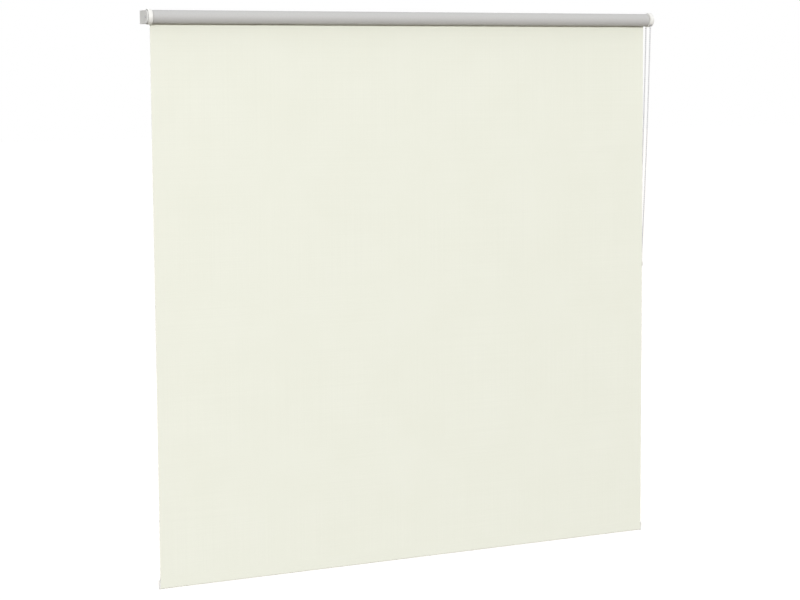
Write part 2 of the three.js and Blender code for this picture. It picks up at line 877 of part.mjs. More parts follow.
// The loop in the plane of the chain, with the roller's axis at the origin, wall side at +X, running clockwise
// from the top of the sprocket. Each strand sags towards the room between its two wheels.
function chainLoop() {
  const backRise = pulleyOffset + pulleyPitchRadius - pitchRadius;
  const frontRise = pulleyOffset - pulleyPitchRadius + pitchRadius;
  const strand = (rise) => ({
    top: Math.atan((rise - 4 * chainSag) / chainDrop),
    bottom: Math.atan((rise + 4 * chainSag) / chainDrop),
  });
  const back = strand(backRise);
  const front = strand(frontRise);
  const at = (x, y, radius, angle) =>
    new THREE.Vector2(x + radius * Math.cos(angle), y + radius * Math.sin(angle));
  const backTop = at(0, 0, pitchRadius, back.top);
  const backFoot = at(pulleyOffset, -chainDrop, pulleyPitchRadius, back.bottom);
  const frontTop = at(0, 0, pitchRadius, Math.PI + front.top);
  const frontFoot = at(pulleyOffset, -chainDrop, pulleyPitchRadius, Math.PI + front.bottom);
  const bend = (top, foot, lean) => {
    const a = new THREE.Vector2(Math.sin(lean.top), -Math.cos(lean.top));
    const b = new THREE.Vector2(Math.sin(lean.bottom), -Math.cos(lean.bottom));
    const between = foot.clone().sub(top);
    const along = between.cross(b) / a.cross(b);
    return top.clone().addScaledVector(a, along);
  };
  const loop = new THREE.CurvePath();
  const arcs = (x, y, radius, from, to) => new THREE.EllipseCurve(x, y, radius, radius, from, to, true);
  loop.add(arcs(0, 0, pitchRadius, Math.PI / 2, back.top));
  loop.add(new THREE.QuadraticBezierCurve(backTop, bend(backTop, backFoot, back), backFoot));
  loop.add(arcs(pulleyOffset, -chainDrop, pulleyPitchRadius, back.bottom, front.bottom - Math.PI));
  loop.add(new THREE.QuadraticBezierCurve(frontFoot, bend(frontTop, frontFoot, front), frontTop));
  loop.add(arcs(0, 0, pitchRadius, Math.PI + front.top, Math.PI / 2));
  return loop;
}

// One skin over cord and beads: along each bead a ring at its neck and two round its belly, as shares of the
// pitch from the bead's middle and of the bead's radius.
const beadAlongShares = [-0.5, -0.18, 0.18];
const beadBellyShare = 0.95;

function beadChain() {
  const sides = 4;
  const loop = chainLoop();
  const beads = Math.round(loop.getLength() / beadPitch);
  const rings = [];
  for (let bead = 0; bead < beads; bead += 1)
    for (const along of beadAlongShares) {
      const share = (bead + along + beads) % beads / beads;
      const radius = along === beadAlongShares[0] ? chainCordRadius : beadRadius * beadBellyShare;
      rings.push(chainRing(loop, share, radius, sides));
    }
  console.log(`chain: ${beads} beads on a loop of ${loop.getLength().toFixed(1)} mm`);
  return closedSkin(rings, sides).translate(0, 0, chainPlane);
}

function chainRing(loop, share, radius, sides) {
  const middle = loop.getPoint(share);
  const tangent = loop.getTangent(share);
  return Array.from({ length: sides }, (_, i) => {
    const angle = (2 * Math.PI * i) / sides;
    const inPlane = radius * Math.cos(angle);
    const x = middle.x - tangent.y * inPlane;
    const y = middle.y + tangent.x * inPlane;
    return [x, y, radius * Math.sin(angle)];
  });
}

// A skin over rings of points, the last joined to the first.
function closedSkin(rings, sides) {
  const index = [];
  rings.forEach((_, ring) => {
    const next = (ring + 1) % rings.length;
    for (let side = 0; side < sides; side += 1) {
      const beside = (side + 1) % sides;
      const [a, b] = [ring * sides + side, ring * sides + beside];
      const [c, d] = [next * sides + side, next * sides + beside];
      index.push(a, b, c, b, d, c);
    }
  });
  const geometry = new THREE.BufferGeometry();
  geometry.setAttribute("position", new THREE.Float32BufferAttribute(rings.flat(2), 3));
  geometry.setIndex(index);
  geometry.computeVertexNormals();
  return geometry;
}

// Tensioner, in the frame of its pulley: local Z along the pulley's axis, the wall at +X

function tensionerPulley() {
  const half = pulleyWidth / 2;
  const groove = beadRadius + grooveGap;
  const rim = pulleyPitchRadius + pulleyRim;
  const bottom = arc(pulleyPitchRadius, 0, groove, -Math.PI / 2, (-3 * Math.PI) / 2, 6);
  const profile = [
    [axleRadius + runningGap, -half],
    [rim, -half],
    [rim, -groove],
    ...pairs(bottom),
    [rim, groove],
    [rim, half],
    [axleRadius + runningGap, half],
  ];
  return revolve(profile, plugSides);
}

const cheekInner = pulleyWidth / 2 + runningGap;
const cheekOuter = cheekInner + cheekThickness;

function tensionerBody() {
  const half = tensionerWidth / 2;
  const tall = tensionerHeight / 2;
  const quarter = Math.PI / 2;
  const corner = (x, y, start) => arc(x, y, tensionerCorner, start, start + quarter, 4);
  const base = prism(
    [
      ...corner(half - tensionerCorner, tall - tensionerCorner, 0),
      ...corner(tensionerCorner - half, tall - tensionerCorner, quarter),
      ...corner(tensionerCorner - half, tensionerCorner - tall, 2 * quarter),
      ...corner(half - tensionerCorner, tensionerCorner - tall, 3 * quarter),
    ],
    pulleyToWall - tensionerBase,
    pulleyToWall,
  ).rotateY(quarter);
  const foot = pulleyToWall - tensionerBase / 2;
  const side = [
    ...arc(0, 0, cheekRadius, quarter, 3 * quarter, 12),
    new THREE.Vector2(foot, -cheekRadius),
    new THREE.Vector2(foot, cheekRadius),
  ];
  const cheeks = [
    prism(side, cheekInner, cheekOuter),
    prism(side, -cheekOuter, -cheekInner),
  ];
  const bore = rod(axleRadius + seatGap, -cheekOuter - cutOverrun, cheekOuter + cutOverrun);
  const holes = [-1, 1].map((sign) => {
    const hole = rod(screwHoleRadius, pulleyToWall - tensionerBase - cutOverrun, pulleyToWall + cutOverrun);
    return hole.rotateY(quarter).translate(0, (sign * tensionerScrewSpacing) / 2, 0);
  });
  return cut(join(base, ...cheeks), bore, ...holes);
}

function tensionerPin() {
  const tail = cheekOuter + axleHead / 2;
  const profile = [
    [0, -tail],
    [axleRadius, -tail],
    [axleRadius, cheekOuter + seatGap],
    [axleHeadRadius, cheekOuter + seatGap],
    [axleHeadRadius, cheekOuter + seatGap + axleHead],
    [0, cheekOuter + seatGap + axleHead],
  ];
  return revolve(profile, pinSides);
}

// A wood screw driven along +Y through a plate that lies on the wall.
function wallScrew(name, x, z, plate) {
  const made = piece(name, screw(screwShank, screwLength, screwHead, screwHeadHeight, screwTip), steel);
  made.rotation.x = -Math.PI / 2;
  made.position.set(x, -plate - seatGap, z);
  return made;
}

function bracketScrews(side, label) {
  return [-1, 1].map((sign) => {
    const place = sign > 0 ? "upper" : "lower";
    const x = side * (halfWidth + screwAcross);
    return wallScrew(`${label}_bracket_screw_${place}`, x, (sign * bracketScrewSpacing) / 2, plateThickness);
  });
}

function tensionerScrews() {
  return [-1, 1].map((sign) => {
    const place = sign > 0 ? "upper" : "lower";
    const z = (sign * tensionerScrewSpacing) / 2 - chainDrop;
    return wallScrew(`tensioner_screw_${place}`, halfWidth + chainPlane, z, tensionerBase);
  });
}

function rollerParts() {
  return rollerFrame(
    piece("roller_tube", rollerTube(), aluminium),
    piece("fixing_tape", fixingTape(), capMaterial),
    piece("fabric_roll", clothRoll(), clothBack),
    piece("fabric_drop", clothDrop(), cloth),
    piece("fabric_hem", hemPocket(), cloth),
    piece("bottom_bar", bottomBar(), aluminium),
  );
}

function leftEnd() {
  return endFrame(
    -1,
    piece("left_bracket", bracket(-1, ...idleHoles()), plated),
    piece("left_end_cover", leftEndCover(), capMaterial),
    piece("idle_bush", idleBush(), clutchMaterial),
    piece("idle_plug", idlePlug(), clutchMaterial),
    piece("spring_cap", springCap(), clutchMaterial),
    piece("idle_pin", idlePin(), steel),
    piece("idle_spring", idleSpring(), steel),
    piece("bar_cap_left", barCap(-1), capMaterial),
  );
}

function rightEnd() {
  const firstCurl = -sleeveRootGap;
  const secondCurl = firstCurl - wrapSpringLength - wrapSpringGap;
  return endFrame(
    1,
    piece("right_bracket", bracket(1, driveHole()), plated),
    piece("clutch_housing", clutchHousing(), capMaterial),
    piece("clutch_cover", clutchCover(), capMaterial),
    piece("sprocket", sprocket(), clutchMaterial),
    piece("clutch_hub", clutchHub(), clutchMaterial),
    piece("wrap_spring_outer", wrapSpring(firstCurl), steel),
    piece("wrap_spring_inner", wrapSpring(secondCurl), steel),
    piece("retaining_washer", retainingWasher(), steel),
    piece("core_screw", coreScrew(), steel),
    piece("bead_chain", beadChain(), capMaterial),
    piece("bar_cap_right", barCap(1), capMaterial),
    tensioner(),
  );
}

function tensioner() {
  const made = group(
    piece("tensioner_body", tensionerBody(), capMaterial),
    piece("tensioner_pulley", tensionerPulley(), clutchMaterial),
    piece("tensioner_pin", tensionerPin(), steel),
  );
  made.position.set(pulleyOffset, -chainDrop, chainPlane);
  return made;
}

export default group(
  rollerParts(),
  leftEnd(),
  rightEnd(),
  ...bracketScrews(-1, "left"),
  ...bracketScrews(1, "right"),
  ...tensionerScrews(),
);
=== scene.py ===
"""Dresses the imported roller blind: cloth, seams, chain, covers, finishes, light and camera."""

import json
import math
from contextlib import contextmanager

import bmesh
import bpy
import numpy as np
from mathutils import Matrix, Vector, noise


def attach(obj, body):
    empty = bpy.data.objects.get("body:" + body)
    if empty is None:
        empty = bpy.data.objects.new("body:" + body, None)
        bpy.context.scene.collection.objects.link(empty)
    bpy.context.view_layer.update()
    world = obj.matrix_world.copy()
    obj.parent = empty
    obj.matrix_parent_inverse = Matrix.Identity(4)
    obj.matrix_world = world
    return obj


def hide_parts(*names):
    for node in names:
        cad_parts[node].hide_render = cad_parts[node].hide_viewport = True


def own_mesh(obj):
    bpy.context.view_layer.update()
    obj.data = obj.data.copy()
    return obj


MM = 0.001
TURN = 2 * math.pi
QUARTER = math.pi / 2
ENDS = ((-1, "left"), (1, "right"))

# Cloth and roller, in metres. The wall is at y 0 and the roller's axis at z 0
CLOTH_WIDTH = 1459 * MM
HALF = CLOTH_WIDTH / 2
CLOTH_THICKNESS = 0.38 * MM
AXIS_TO_WALL = 55 * MM
AXIS_Y = -AXIS_TO_WALL
TUBE_RADIUS = 16 * MM
ROLL_RADIUS = 17.48 * MM
TAPE_STACK = 0.3 * MM
HANG_Y = AXIS_Y + ROLL_RADIUS - CLOTH_THICKNESS / 2
HEM_BOTTOM = -1482.52 * MM
HEM_HEIGHT = 32 * MM
HEM_TOP = HEM_BOTTOM + HEM_HEIGHT
DROP_LENGTH = -HEM_TOP

# Bottom bar, in a pocket behind the cloth's front layer
BAR_HALF_DEPTH = 2 * MM
BAR_HALF_HEIGHT = 11 * MM
BAR_RISE = BAR_HALF_HEIGHT - BAR_HALF_DEPTH
BAR_WALL = 0.9 * MM
BAR_GAP = 0.3 * MM
HEM_ROUND = BAR_HALF_DEPTH + BAR_GAP + CLOTH_THICKNESS / 2
BAR_Y = HANG_Y + HEM_ROUND
BAR_MIDDLE = HEM_BOTTOM + CLOTH_THICKNESS / 2 + HEM_ROUND + BAR_RISE

# Bead chain, round the sprocket at the roller's right end and the tensioner's pulley
BEAD_PITCH = 6 * MM
BEAD_RADIUS = 2.25 * MM
CHAIN_CORD_RADIUS = 0.65 * MM
SPROCKET_BEADS = 12
CHAIN_RADIUS = SPROCKET_BEADS * BEAD_PITCH / TURN
CHAIN_OUT = 6.3 * MM
CHAIN_X = HALF + CHAIN_OUT
CHAIN_DROP = 700 * MM
CHAIN_SAG = 4.5 * MM
PULLEY_RADIUS = 8 * MM
PULLEY_Y = -16 * MM

# Camera, fitted to the ends of the roll and the hem in the photograph
CAMERA_PLACE = Vector((-2.1041, -4.6080, -0.1512))
CAMERA_YAW = math.radians(24.33)
CAMERA_PITCH = math.radians(-5.45)
CAMERA_ROLL = math.radians(-0.39)
CAMERA_SHIFT = -0.060
FOCAL_PIXELS = 1853
PHOTO_WIDTH = 800
SENSOR = 36


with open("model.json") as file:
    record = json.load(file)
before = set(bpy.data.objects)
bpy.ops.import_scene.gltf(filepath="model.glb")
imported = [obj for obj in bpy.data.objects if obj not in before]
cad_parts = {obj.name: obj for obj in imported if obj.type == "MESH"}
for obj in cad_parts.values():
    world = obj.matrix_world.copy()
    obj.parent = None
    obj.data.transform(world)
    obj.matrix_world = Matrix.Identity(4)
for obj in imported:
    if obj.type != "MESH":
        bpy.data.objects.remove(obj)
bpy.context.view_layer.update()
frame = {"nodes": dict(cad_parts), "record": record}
nodes = frame["nodes"]


# Meshes. Angles between faces are in degrees

MEET_DISTANCE = 0.001 * MM
SLIVER = 0.0005 * MM
BEVEL_ANGLE = 40
SHARP_ANGLE = 50


def linked(name, data):
    """A new object in the scene."""
    obj = bpy.data.objects.new(name, data)
    bpy.context.scene.collection.objects.link(obj)
    return obj


@contextmanager
def edited(mesh):
    """A mesh opened for editing. It is written back at the end."""
    made = bmesh.new()
    made.from_mesh(mesh)
    yield made
    made.to_mesh(mesh)
    made.free()


def mesh_object(name, points, faces):
    """A smooth piece whose faces point out."""
    mesh = bpy.data.meshes.new(name)
    mesh.from_pydata([tuple(p) for p in points], [], faces)
    mesh.validate()
    with edited(mesh) as made:
        bmesh.ops.recalc_face_normals(made, faces=made.faces)
    mesh.polygons.foreach_set("use_smooth", [True] * len(mesh.polygons))
    return linked(name, mesh)


def crease(obj, degrees):
    """Marks the edges that stay sharp under smooth shading."""
    obj.data.set_sharp_from_angle(angle=math.radians(degrees))
    return obj


def grid_faces(rows, columns, wrap_rows=False, wrap_columns=False, start=0):
    """Four-sided faces over points laid out row by row. A wrapped grid closes on itself."""
    faces = []
    for i in range(rows if wrap_rows else rows - 1):
        for j in range(columns if wrap_columns else columns - 1):
            below, right = (i + 1) % rows, (j + 1) % columns
            corners = ((i, j), (i, right), (below, right), (below, j))
            faces.append(tuple(start + row * columns + column for row, column in corners))
    return faces


def tube_faces(rings, sides):
    """Faces over rings of points, and one over each end."""
    faces = grid_faces(rings, sides, wrap_columns=True)
    return faces + [tuple(range(sides)), tuple(range((rings - 1) * sides, rings * sides))]


def ring(centre, across, other, radius, sides):
    """Points round a circle in the plane of two directions."""
    angles = [TURN * k / sides for k in range(sides)]
    return [centre + (across * math.cos(a) + other * math.sin(a)) * radius for a in angles]


def lathe(name, profile, sides, along, centre):
    """Turns (radius, height) pairs round a line through centre whose direction is along."""
    axis = Vector(along).normalized()
    across = axis.orthogonal().normalized()
    other = axis.cross(across)
    points = []
    for radius, height in profile:
        points += ring(Vector(centre) + axis * height, across, other, radius, sides)
    obj = mesh_object(name, points, grid_faces(len(profile), sides, wrap_rows=True, wrap_columns=True))
    # The points on the axis meet
    with edited(obj.data) as made:
        bmesh.ops.remove_doubles(made, verts=made.verts, dist=MEET_DISTANCE)
        bmesh.ops.dissolve_degenerate(made, edges=made.edges, dist=SLIVER)
        bmesh.ops.recalc_face_normals(made, faces=made.faces)
    return obj


def arc(x, y, radius, start, end, steps):
    """Points round the middle (x, y), from one angle to another."""
    angles = [start + (end - start) * i / steps for i in range(steps + 1)]
    return [(x + radius * math.cos(a), y + radius * math.sin(a)) for a in angles]


def circle(x, y, radius, sides):
    return arc(x, y, radius, 0, TURN * (1 - 1 / sides), sides - 1)


def stretch(start, end, steps):
    """Points from start towards end, the end left out."""
    shares = [i / steps for i in range(steps)]
    return [tuple(a + (b - a) * share for a, b in zip(start, end)) for share in shares]


def distances(points):
    """How far each point of a line of points lies along it."""
    steps = np.linalg.norm(np.diff(np.array(points), axis=0), axis=1)
    return np.concatenate([[0], np.cumsum(steps)])


def prism(name, outline, start, end, place):
    """A solid over an outline of (u, v) pairs, from height start to end.

    place puts (u, v, height) in space.
    """
    points = [place(u, v, height) for height in (start, end) for u, v in outline]
    return mesh_object(name, points, tube_faces(2, len(outline)))


def block(name, low, high, place=lambda *point: point):
    """A block between two corners, given in the directions of place."""
    outline = [(low[0], low[1]), (high[0], low[1]), (high[0], high[1]), (low[0], high[1])]
    return prism(name, outline, low[2], high[2], place)


def settled(obj):
    """Applies the modifiers of a piece."""
    bpy.context.view_layer.update()
    seen = obj.evaluated_get(bpy.context.evaluated_depsgraph_get())
    fresh = bpy.data.meshes.new_from_object(seen)
    obj.modifiers.clear()
    obj.data = fresh
    return obj


def combined(obj, operation, *others):
    """Cuts others from obj, joins them to it, or keeps what they share, and removes them."""
    for other in others:
        step = obj.modifiers.new("step", "BOOLEAN")
        step.operation = operation
        step.solver = "EXACT"
        step.object = other
        settled(obj)
        bpy.data.objects.remove(other)


def joined(obj, other):
    """Puts the mesh of other into obj, uncut."""
    with edited(obj.data) as made:
        made.from_mesh(other.data)
    bpy.data.objects.remove(other)


def softened(obj, width, segments=2):
    """Rounds the sharp edges as a mould or a coat of paint does, and keeps the flat faces flat."""
    rounding = obj.modifiers.new("rounding", "BEVEL")
    rounding.width = width
    rounding.segments = segments
    rounding.limit_method = "ANGLE"
    rounding.angle_limit = math.radians(BEVEL_ANGLE)
    settled(obj)
    obj.data.polygons.foreach_set("use_smooth", [True] * len(obj.data.polygons))
    crease(obj, SHARP_ANGLE)
    weighted = obj.modifiers.new("weighted", "WEIGHTED_NORMAL")
    weighted.keep_sharp = True
    return settled(obj)


# Cloth: strips that follow a path across the roller, with a front, a back and cut edges

CLOTH_COLUMNS = 90
CUT_EDGE_ANGLE = 60


def rim_faces(rows, columns, sheet):
    """Joins the edges of two like grids, the second of which starts at point number sheet."""
    edge = [(0, j) for j in range(columns)]
    edge += [(i, columns - 1) for i in range(1, rows)]
    edge += [(rows - 1, j) for j in range(columns - 2, -1, -1)]
    edge += [(i, 0) for i in range(rows - 2, 0, -1)]
    near = [i * columns + j for i, j in edge]
    pairs = zip(near, near[1:] + near[:1])
    return [(here, there, there + sheet, here + sheet) for here, there in pairs]


def cloth_strip(name, path, ripple, materials):
    """A sheet of cloth of full width along path, a list of (y, z) points on its middle.

    ripple(x, way) moves a point along its normal. Materials are for the side on the path's left,
    its right side and the cut edges.
    """
    ways = distances(path)
    tangents = np.gradient(np.array(path), axis=0)
    tangents /= np.linalg.norm(tangents, axis=1)[:, None]
    points, marks = [], []
    for side in (0.5, -0.5):
        for (y, z), (along_y, along_z), way in zip(path, tangents, ways):
            for j in range(CLOTH_COLUMNS):
                x = -HALF + CLOTH_WIDTH * j / (CLOTH_COLUMNS - 1)
                off = side * CLOTH_THICKNESS + ripple(x, way)
                points.append((x, y - along_z * off, z + along_y * off))
                marks.append((x, way))
    sheet = len(path) * CLOTH_COLUMNS
    left = grid_faces(len(path), CLOTH_COLUMNS)
    right = [tuple(reversed(face)) for face in grid_faces(len(path), CLOTH_COLUMNS, start=sheet)]
    rim = rim_faces(len(path), CLOTH_COLUMNS, sheet)
    obj = mesh_object(name, points, left + right + rim)
    for made in materials:
        obj.data.materials.append(made)
    picks = [0] * len(left) + [1] * len(right) + [2] * len(rim)
    obj.data.polygons.foreach_set("material_index", picks)
    layer = obj.data.uv_layers.new(name="cloth")
    for loop in obj.data.loops:
        layer.data[loop.index].uv = marks[loop.vertex_index]
    return crease(obj, CUT_EDGE_ANGLE), float(ways[-1])


def still(x, way):
    return 0.0


ROLL_TURNS = 2
ROLL_STEPS = 96 * ROLL_TURNS


def roll_path():
    """Wound on the tube: from the wall's side over the top and inwards to the tape."""
    outer = ROLL_RADIUS - CLOTH_THICKNESS / 2
    inner = TUBE_RADIUS + TAPE_STACK + CLOTH_THICKNESS / 2
    path = []
    for i in range(ROLL_STEPS + 1):
        angle = TURN * ROLL_TURNS * i / ROLL_STEPS
        radius = outer - (outer - inner) * i / ROLL_STEPS
        path.append((AXIS_Y + radius * math.cos(angle), radius * math.sin(angle)))
    return path


DROP_ROWS = 110


def drop_path():
    return [(HANG_Y, HEM_TOP * i / (DROP_ROWS - 1)) for i in range(DROP_ROWS)]


# Waves are given as how many come in a metre across and down, and a place in the noise
DROP_RIPPLE = 0.35 * MM
RIPPLE_POWER = 0.7
BROAD_WAVES = (3.1, 1.3, 4.7)
NARROW_WAVES = (9.0, 2.2, 9.1)
NARROW_SHARE = 0.4
EDGE_CURL = 0.5 * MM
CURL_BAND_SHARE = 0.1
CURL_UNEVEN_SHARE = 0.4
CURL_WAVES = 4
CURL_PLACE = (2, 1)


def wave_at(x, way, waves):
    across, down, place = waves
    return noise.noise(Vector((x * across, way * down, place)))


def drop_ripple(x, way):
    """Soft waves of hanging cloth. They die out where it leaves the roll and where it joins the hem."""
    share = way / DROP_LENGTH
    free = math.sin(math.pi * min(max(share, 0), 1)) ** RIPPLE_POWER
    soft = wave_at(x, way, BROAD_WAVES) + NARROW_SHARE * wave_at(x, way, NARROW_WAVES)
    edge = max(0.0, (abs(x) - (1 - CURL_BAND_SHARE) * HALF) / (CURL_BAND_SHARE * HALF)) ** 2
    wander = noise.noise(Vector((way * CURL_WAVES, *CURL_PLACE)))
    uneven = 1 - CURL_UNEVEN_SHARE + CURL_UNEVEN_SHARE * wander
    return free * (DROP_RIPPLE * soft - EDGE_CURL * edge * uneven)


# Hem. Its rows are how many points lie along each stretch
WELD_HEIGHT = 4 * MM
FLAP_SHARE = 1.02  # of a cloth's thickness from the front layer to the back one at the weld
WELD_ROWS = 6
FRONT_ROWS = 16
UNDER_ROWS = 32
BACK_ROWS = 12
BEND_ROWS = 8


def hem_path():
    """Straight down in front of the bar, round under it, up behind it and slanting back to the weld."""
    flap = HANG_Y + CLOTH_THICKNESS * FLAP_SHARE
    weld = HEM_TOP - WELD_HEIGHT
    low, high = BAR_MIDDLE - BAR_RISE, BAR_MIDDLE + BAR_RISE
    slant = Vector((flap - BAR_Y, weld - high))
    touch = math.atan2(slant.y, slant.x) - math.acos(HEM_ROUND / slant.length)
    under = arc(BAR_Y, low, HEM_ROUND, math.pi, TURN, UNDER_ROWS)
    behind = arc(BAR_Y, high, HEM_ROUND, 0, touch, BEND_ROWS)
    path = stretch((HANG_Y, HEM_TOP), (HANG_Y, weld), WELD_ROWS)
    path += stretch((HANG_Y, weld), under[0], FRONT_ROWS) + under
    path += stretch(under[-1], behind[0], BACK_ROWS)[1:] + behind
    path += stretch(behind[-1], (flap, weld), BEND_ROWS)[1:]
    path += stretch((flap, weld), (flap, HEM_TOP), WELD_ROWS)
    path.append((flap, HEM_TOP))
    return path


# Nodes of materials and of the world


def feed(tree, socket, value):
    """Gives a socket a value, or the output of another node."""
    if isinstance(value, bpy.types.NodeSocket):
        tree.links.new(value, socket)
    else:
        socket.default_value = value


def add_node(tree, kind, inputs=None, **settings):
    made = tree.nodes.new(kind)
    for key, value in settings.items():
        setattr(made, key, value)
    for key, value in (inputs or {}).items():
        feed(tree, made.inputs[key], value)
    return made


# Finishes. Scales are patches in a metre, and colours are screen values from 0 to 255

NOISE_LOW = 0.3
NOISE_HIGH = 0.7
WAVE_NODE_RATE = 20  # radians of a wave node for each unit of its scale


class Finish:
    """A material with one Principled shader, and short ways to add the nodes that feed it."""

    def __init__(self, name, roughness, **plain):
        self.material = bpy.data.materials.new(name)
        self.material.use_nodes = True
        self.tree = self.material.node_tree
        self.shader = self.tree.nodes["Principled BSDF"]
        self.give("Roughness", roughness)
        for key, value in plain.items():
            self.give(key.replace("_", " "), value)

    def node(self, kind, inputs=None, **settings):
        return add_node(self.tree, kind, inputs, **settings)

    def mapped(self, start, scale):
        return self.node("ShaderNodeMapping", {"Vector": start, "Scale": scale}).outputs["Vector"]

    def place(self, scale=(1, 1, 1)):
        """Object coordinates in metres, scaled."""
        return self.mapped(self.node("ShaderNodeTexCoord").outputs["Object"], scale)

    def cloth_place(self, scale=(1, 1, 1)):
        """Metres across and along the cloth, scaled."""
        return self.mapped(self.node("ShaderNodeUVMap", uv_map="cloth").outputs["UV"], scale)

    def noise(self, place, scale=1, detail=3):
        inputs = {"Vector": place, "Scale": scale, "Detail": detail}
        return self.node("ShaderNodeTexNoise", inputs).outputs["Fac"]

    def waves(self, place, direction, period):
        scale = TURN / WAVE_NODE_RATE / period
        inputs = {"Vector": place, "Scale": scale, "Distortion": 0, "Detail": 0}
        made = self.node("ShaderNodeTexWave", inputs, wave_type="BANDS", bands_direction=direction)
        return made.outputs["Fac"]

    def math(self, operation, first, second):
        return self.node("ShaderNodeMath", {0: first, 1: second}, operation=operation).outputs[0]

    def spread(self, value, low=0, high=1):
        """Maps what a noise mostly holds on to low to high."""
        inputs = {"Value": value, "To Min": low, "To Max": high}
        inputs |= {"From Min": NOISE_LOW, "From Max": NOISE_HIGH}
        return self.node("ShaderNodeMapRange", inputs).outputs["Result"]

    def mix(self, share, first, second):
        inputs = {"Factor": share, "A": first, "B": second}
        return self.node("ShaderNodeMix", inputs, data_type="RGBA").outputs["Result"]

    def shaded(self, value, colour, darker, lighter):
        """A colour that follows a noise, from darker to lighter by some screen values."""
        return self.mix(self.spread(value), tone(colour, darker), tone(colour, lighter))

    def give(self, name, value):
        feed(self.tree, self.shader.inputs[name], value)

    def bump(self, height, distance, strength=0.5, before=None):
        inputs = {"Height": height, "Distance": distance, "Strength": strength}
        if before is not None:
            inputs["Normal"] = before
        made = self.node("ShaderNodeBump", inputs).outputs["Normal"]
        self.give("Normal", made)
        return made


def tone(colour, shift=0.0):
    """The light of a colour on a standard screen, made lighter or darker by shift."""
    def linear(value):
        share = min(max((value + shift) / 255, 0), 1)
        return share / 12.92 if share <= 0.04045 else ((share + 0.055) / 1.055) ** 2.4
    return (*(linear(value) for value in colour), 1.0)


THREAD = 0.45 * MM
WELD_PITCH = 1.5 * MM


def weave(finish):
    across = finish.waves(finish.cloth_place(), "X", THREAD)
    along = finish.waves(finish.cloth_place(), "Y", THREAD)
    return finish.math("MULTIPLY", across, along)


def weld_ribs(finish):
    """The ribs that the welding tool leaves along the top of the hem, on its front and its flap."""
    length = float(distances(hem_path())[-1])
    way = finish.node("ShaderNodeSeparateXYZ", {"Vector": finish.cloth_place()}).outputs["Y"]
    front = finish.math("LESS_THAN", way, WELD_HEIGHT)
    flap = finish.math("GREATER_THAN", way, length - WELD_HEIGHT)
    ribs = finish.waves(finish.cloth_place(), "X", WELD_PITCH)
    return finish.math("MULTIPLY", ribs, finish.math("ADD", front, flap))


CREAM = (238, 240, 228)
CREAM_CLOUD = (234, 236, 222)
SLUB_ALONG = 2.5
SLUB_ACROSS = 900
SLUB_DEPTH = 0.03 * MM
WEAVE_DEPTH = 0.04 * MM
WELD_DEPTH = 0.05 * MM


def cloth_front(name="cloth_front", welded=False):
    """Matt cream cloth with uneven threads and faint clouds. The hem's also has the weld's ribs."""
    made = Finish(name, roughness=0.82, Sheen_Weight=0.08, Sheen_Roughness=0.5, Specular_IOR_Level=0.25)
    weft = made.noise(made.cloth_place((SLUB_ALONG, SLUB_ACROSS, 1)), detail=2)
    warp = made.noise(made.cloth_place((SLUB_ACROSS, SLUB_ALONG, 1)), detail=2)
    cloudy = made.noise(made.cloth_place(), scale=7, detail=4)
    threads = made.math("MULTIPLY", made.math("ADD", weft, warp), 0.5)
    base = made.shaded(threads, CREAM, darker=-3, lighter=2)
    made.give("Base Color", made.mix(made.spread(cloudy, high=0.35), base, tone(CREAM_CLOUD)))
    made.give("Roughness", made.spread(cloudy, low=0.78, high=0.88))
    slub = made.bump(threads, SLUB_DEPTH)
    woven = made.bump(weave(made), WEAVE_DEPTH, before=slub)
    if welded:
        made.bump(weld_ribs(made), WELD_DEPTH, before=woven)
    return made.material


SILVER = (197, 197, 196)
SILVER_CLOUD = (192, 192, 192)
COAT_DEPTH = 0.02 * MM


def cloth_back():
    """The silver grey coat that keeps the light out, with the threads faint under it."""
    made = Finish("cloth_back", roughness=0.55, Specular_IOR_Level=0.12)
    coat = made.noise(made.cloth_place(), scale=260)
    cloudy = made.noise(made.cloth_place((1, 3, 1)), scale=6, detail=4)
    base = made.shaded(coat, SILVER, darker=-3, lighter=3)
    made.give("Base Color", made.mix(made.spread(cloudy, high=0.4), base, tone(SILVER_CLOUD)))
    made.give("Roughness", made.spread(coat, low=0.44, high=0.56))
    skin = made.bump(coat, COAT_DEPTH)
    made.bump(weave(made), COAT_DEPTH, strength=0.4, before=skin)
    return made.material


CUT_DARK = (214, 214, 204)
CUT_LIGHT = (236, 236, 228)
FIBRE_DEPTH = 0.05 * MM


def cloth_edge():
    """The cut edge, where the threads' ends show."""
    made = Finish("cloth_edge", roughness=0.9)
    fibres = made.noise(made.place(), scale=1500)
    made.give("Base Color", made.mix(made.spread(fibres), tone(CUT_DARK), tone(CUT_LIGHT)))
    made.bump(fibres, FIBRE_DEPTH, strength=0.6)
    return made.material


PORE_DEPTH = 0.012 * MM


def moulded_white(name, colour, roughness):
    """Plastic with the faint flow of the mould and its fine pores."""
    made = Finish(name, roughness, Specular_IOR_Level=0.5)
    pores = made.noise(made.place(), scale=2600, detail=2)
    flow = made.noise(made.place((1, 1, 2.5)), scale=60)
    made.give("Base Color", made.shaded(flow, colour, darker=-3, lighter=2))
    made.give("Roughness", made.spread(flow, low=roughness - 0.05, high=roughness + 0.06))
    made.bump(pores, PORE_DEPTH)
    return made.material


PAINT = (240, 241, 239)
PEEL_DEPTH = 0.03 * MM


def painted_steel():
    """White powder paint with a fine orange peel."""
    made = Finish("bracket_steel", roughness=0.58, Specular_IOR_Level=0.35)
    peel = made.noise(made.place(), scale=900, detail=2)
    cloudy = made.noise(made.place(), scale=45)
    made.give("Base Color", made.shaded(cloudy, PAINT, darker=-4, lighter=2))
    made.give("Roughness", made.spread(peel, low=0.52, high=0.64))
    made.bump(peel, PEEL_DEPTH)
    return made.material


GRAIN_DEPTH = 0.01 * MM


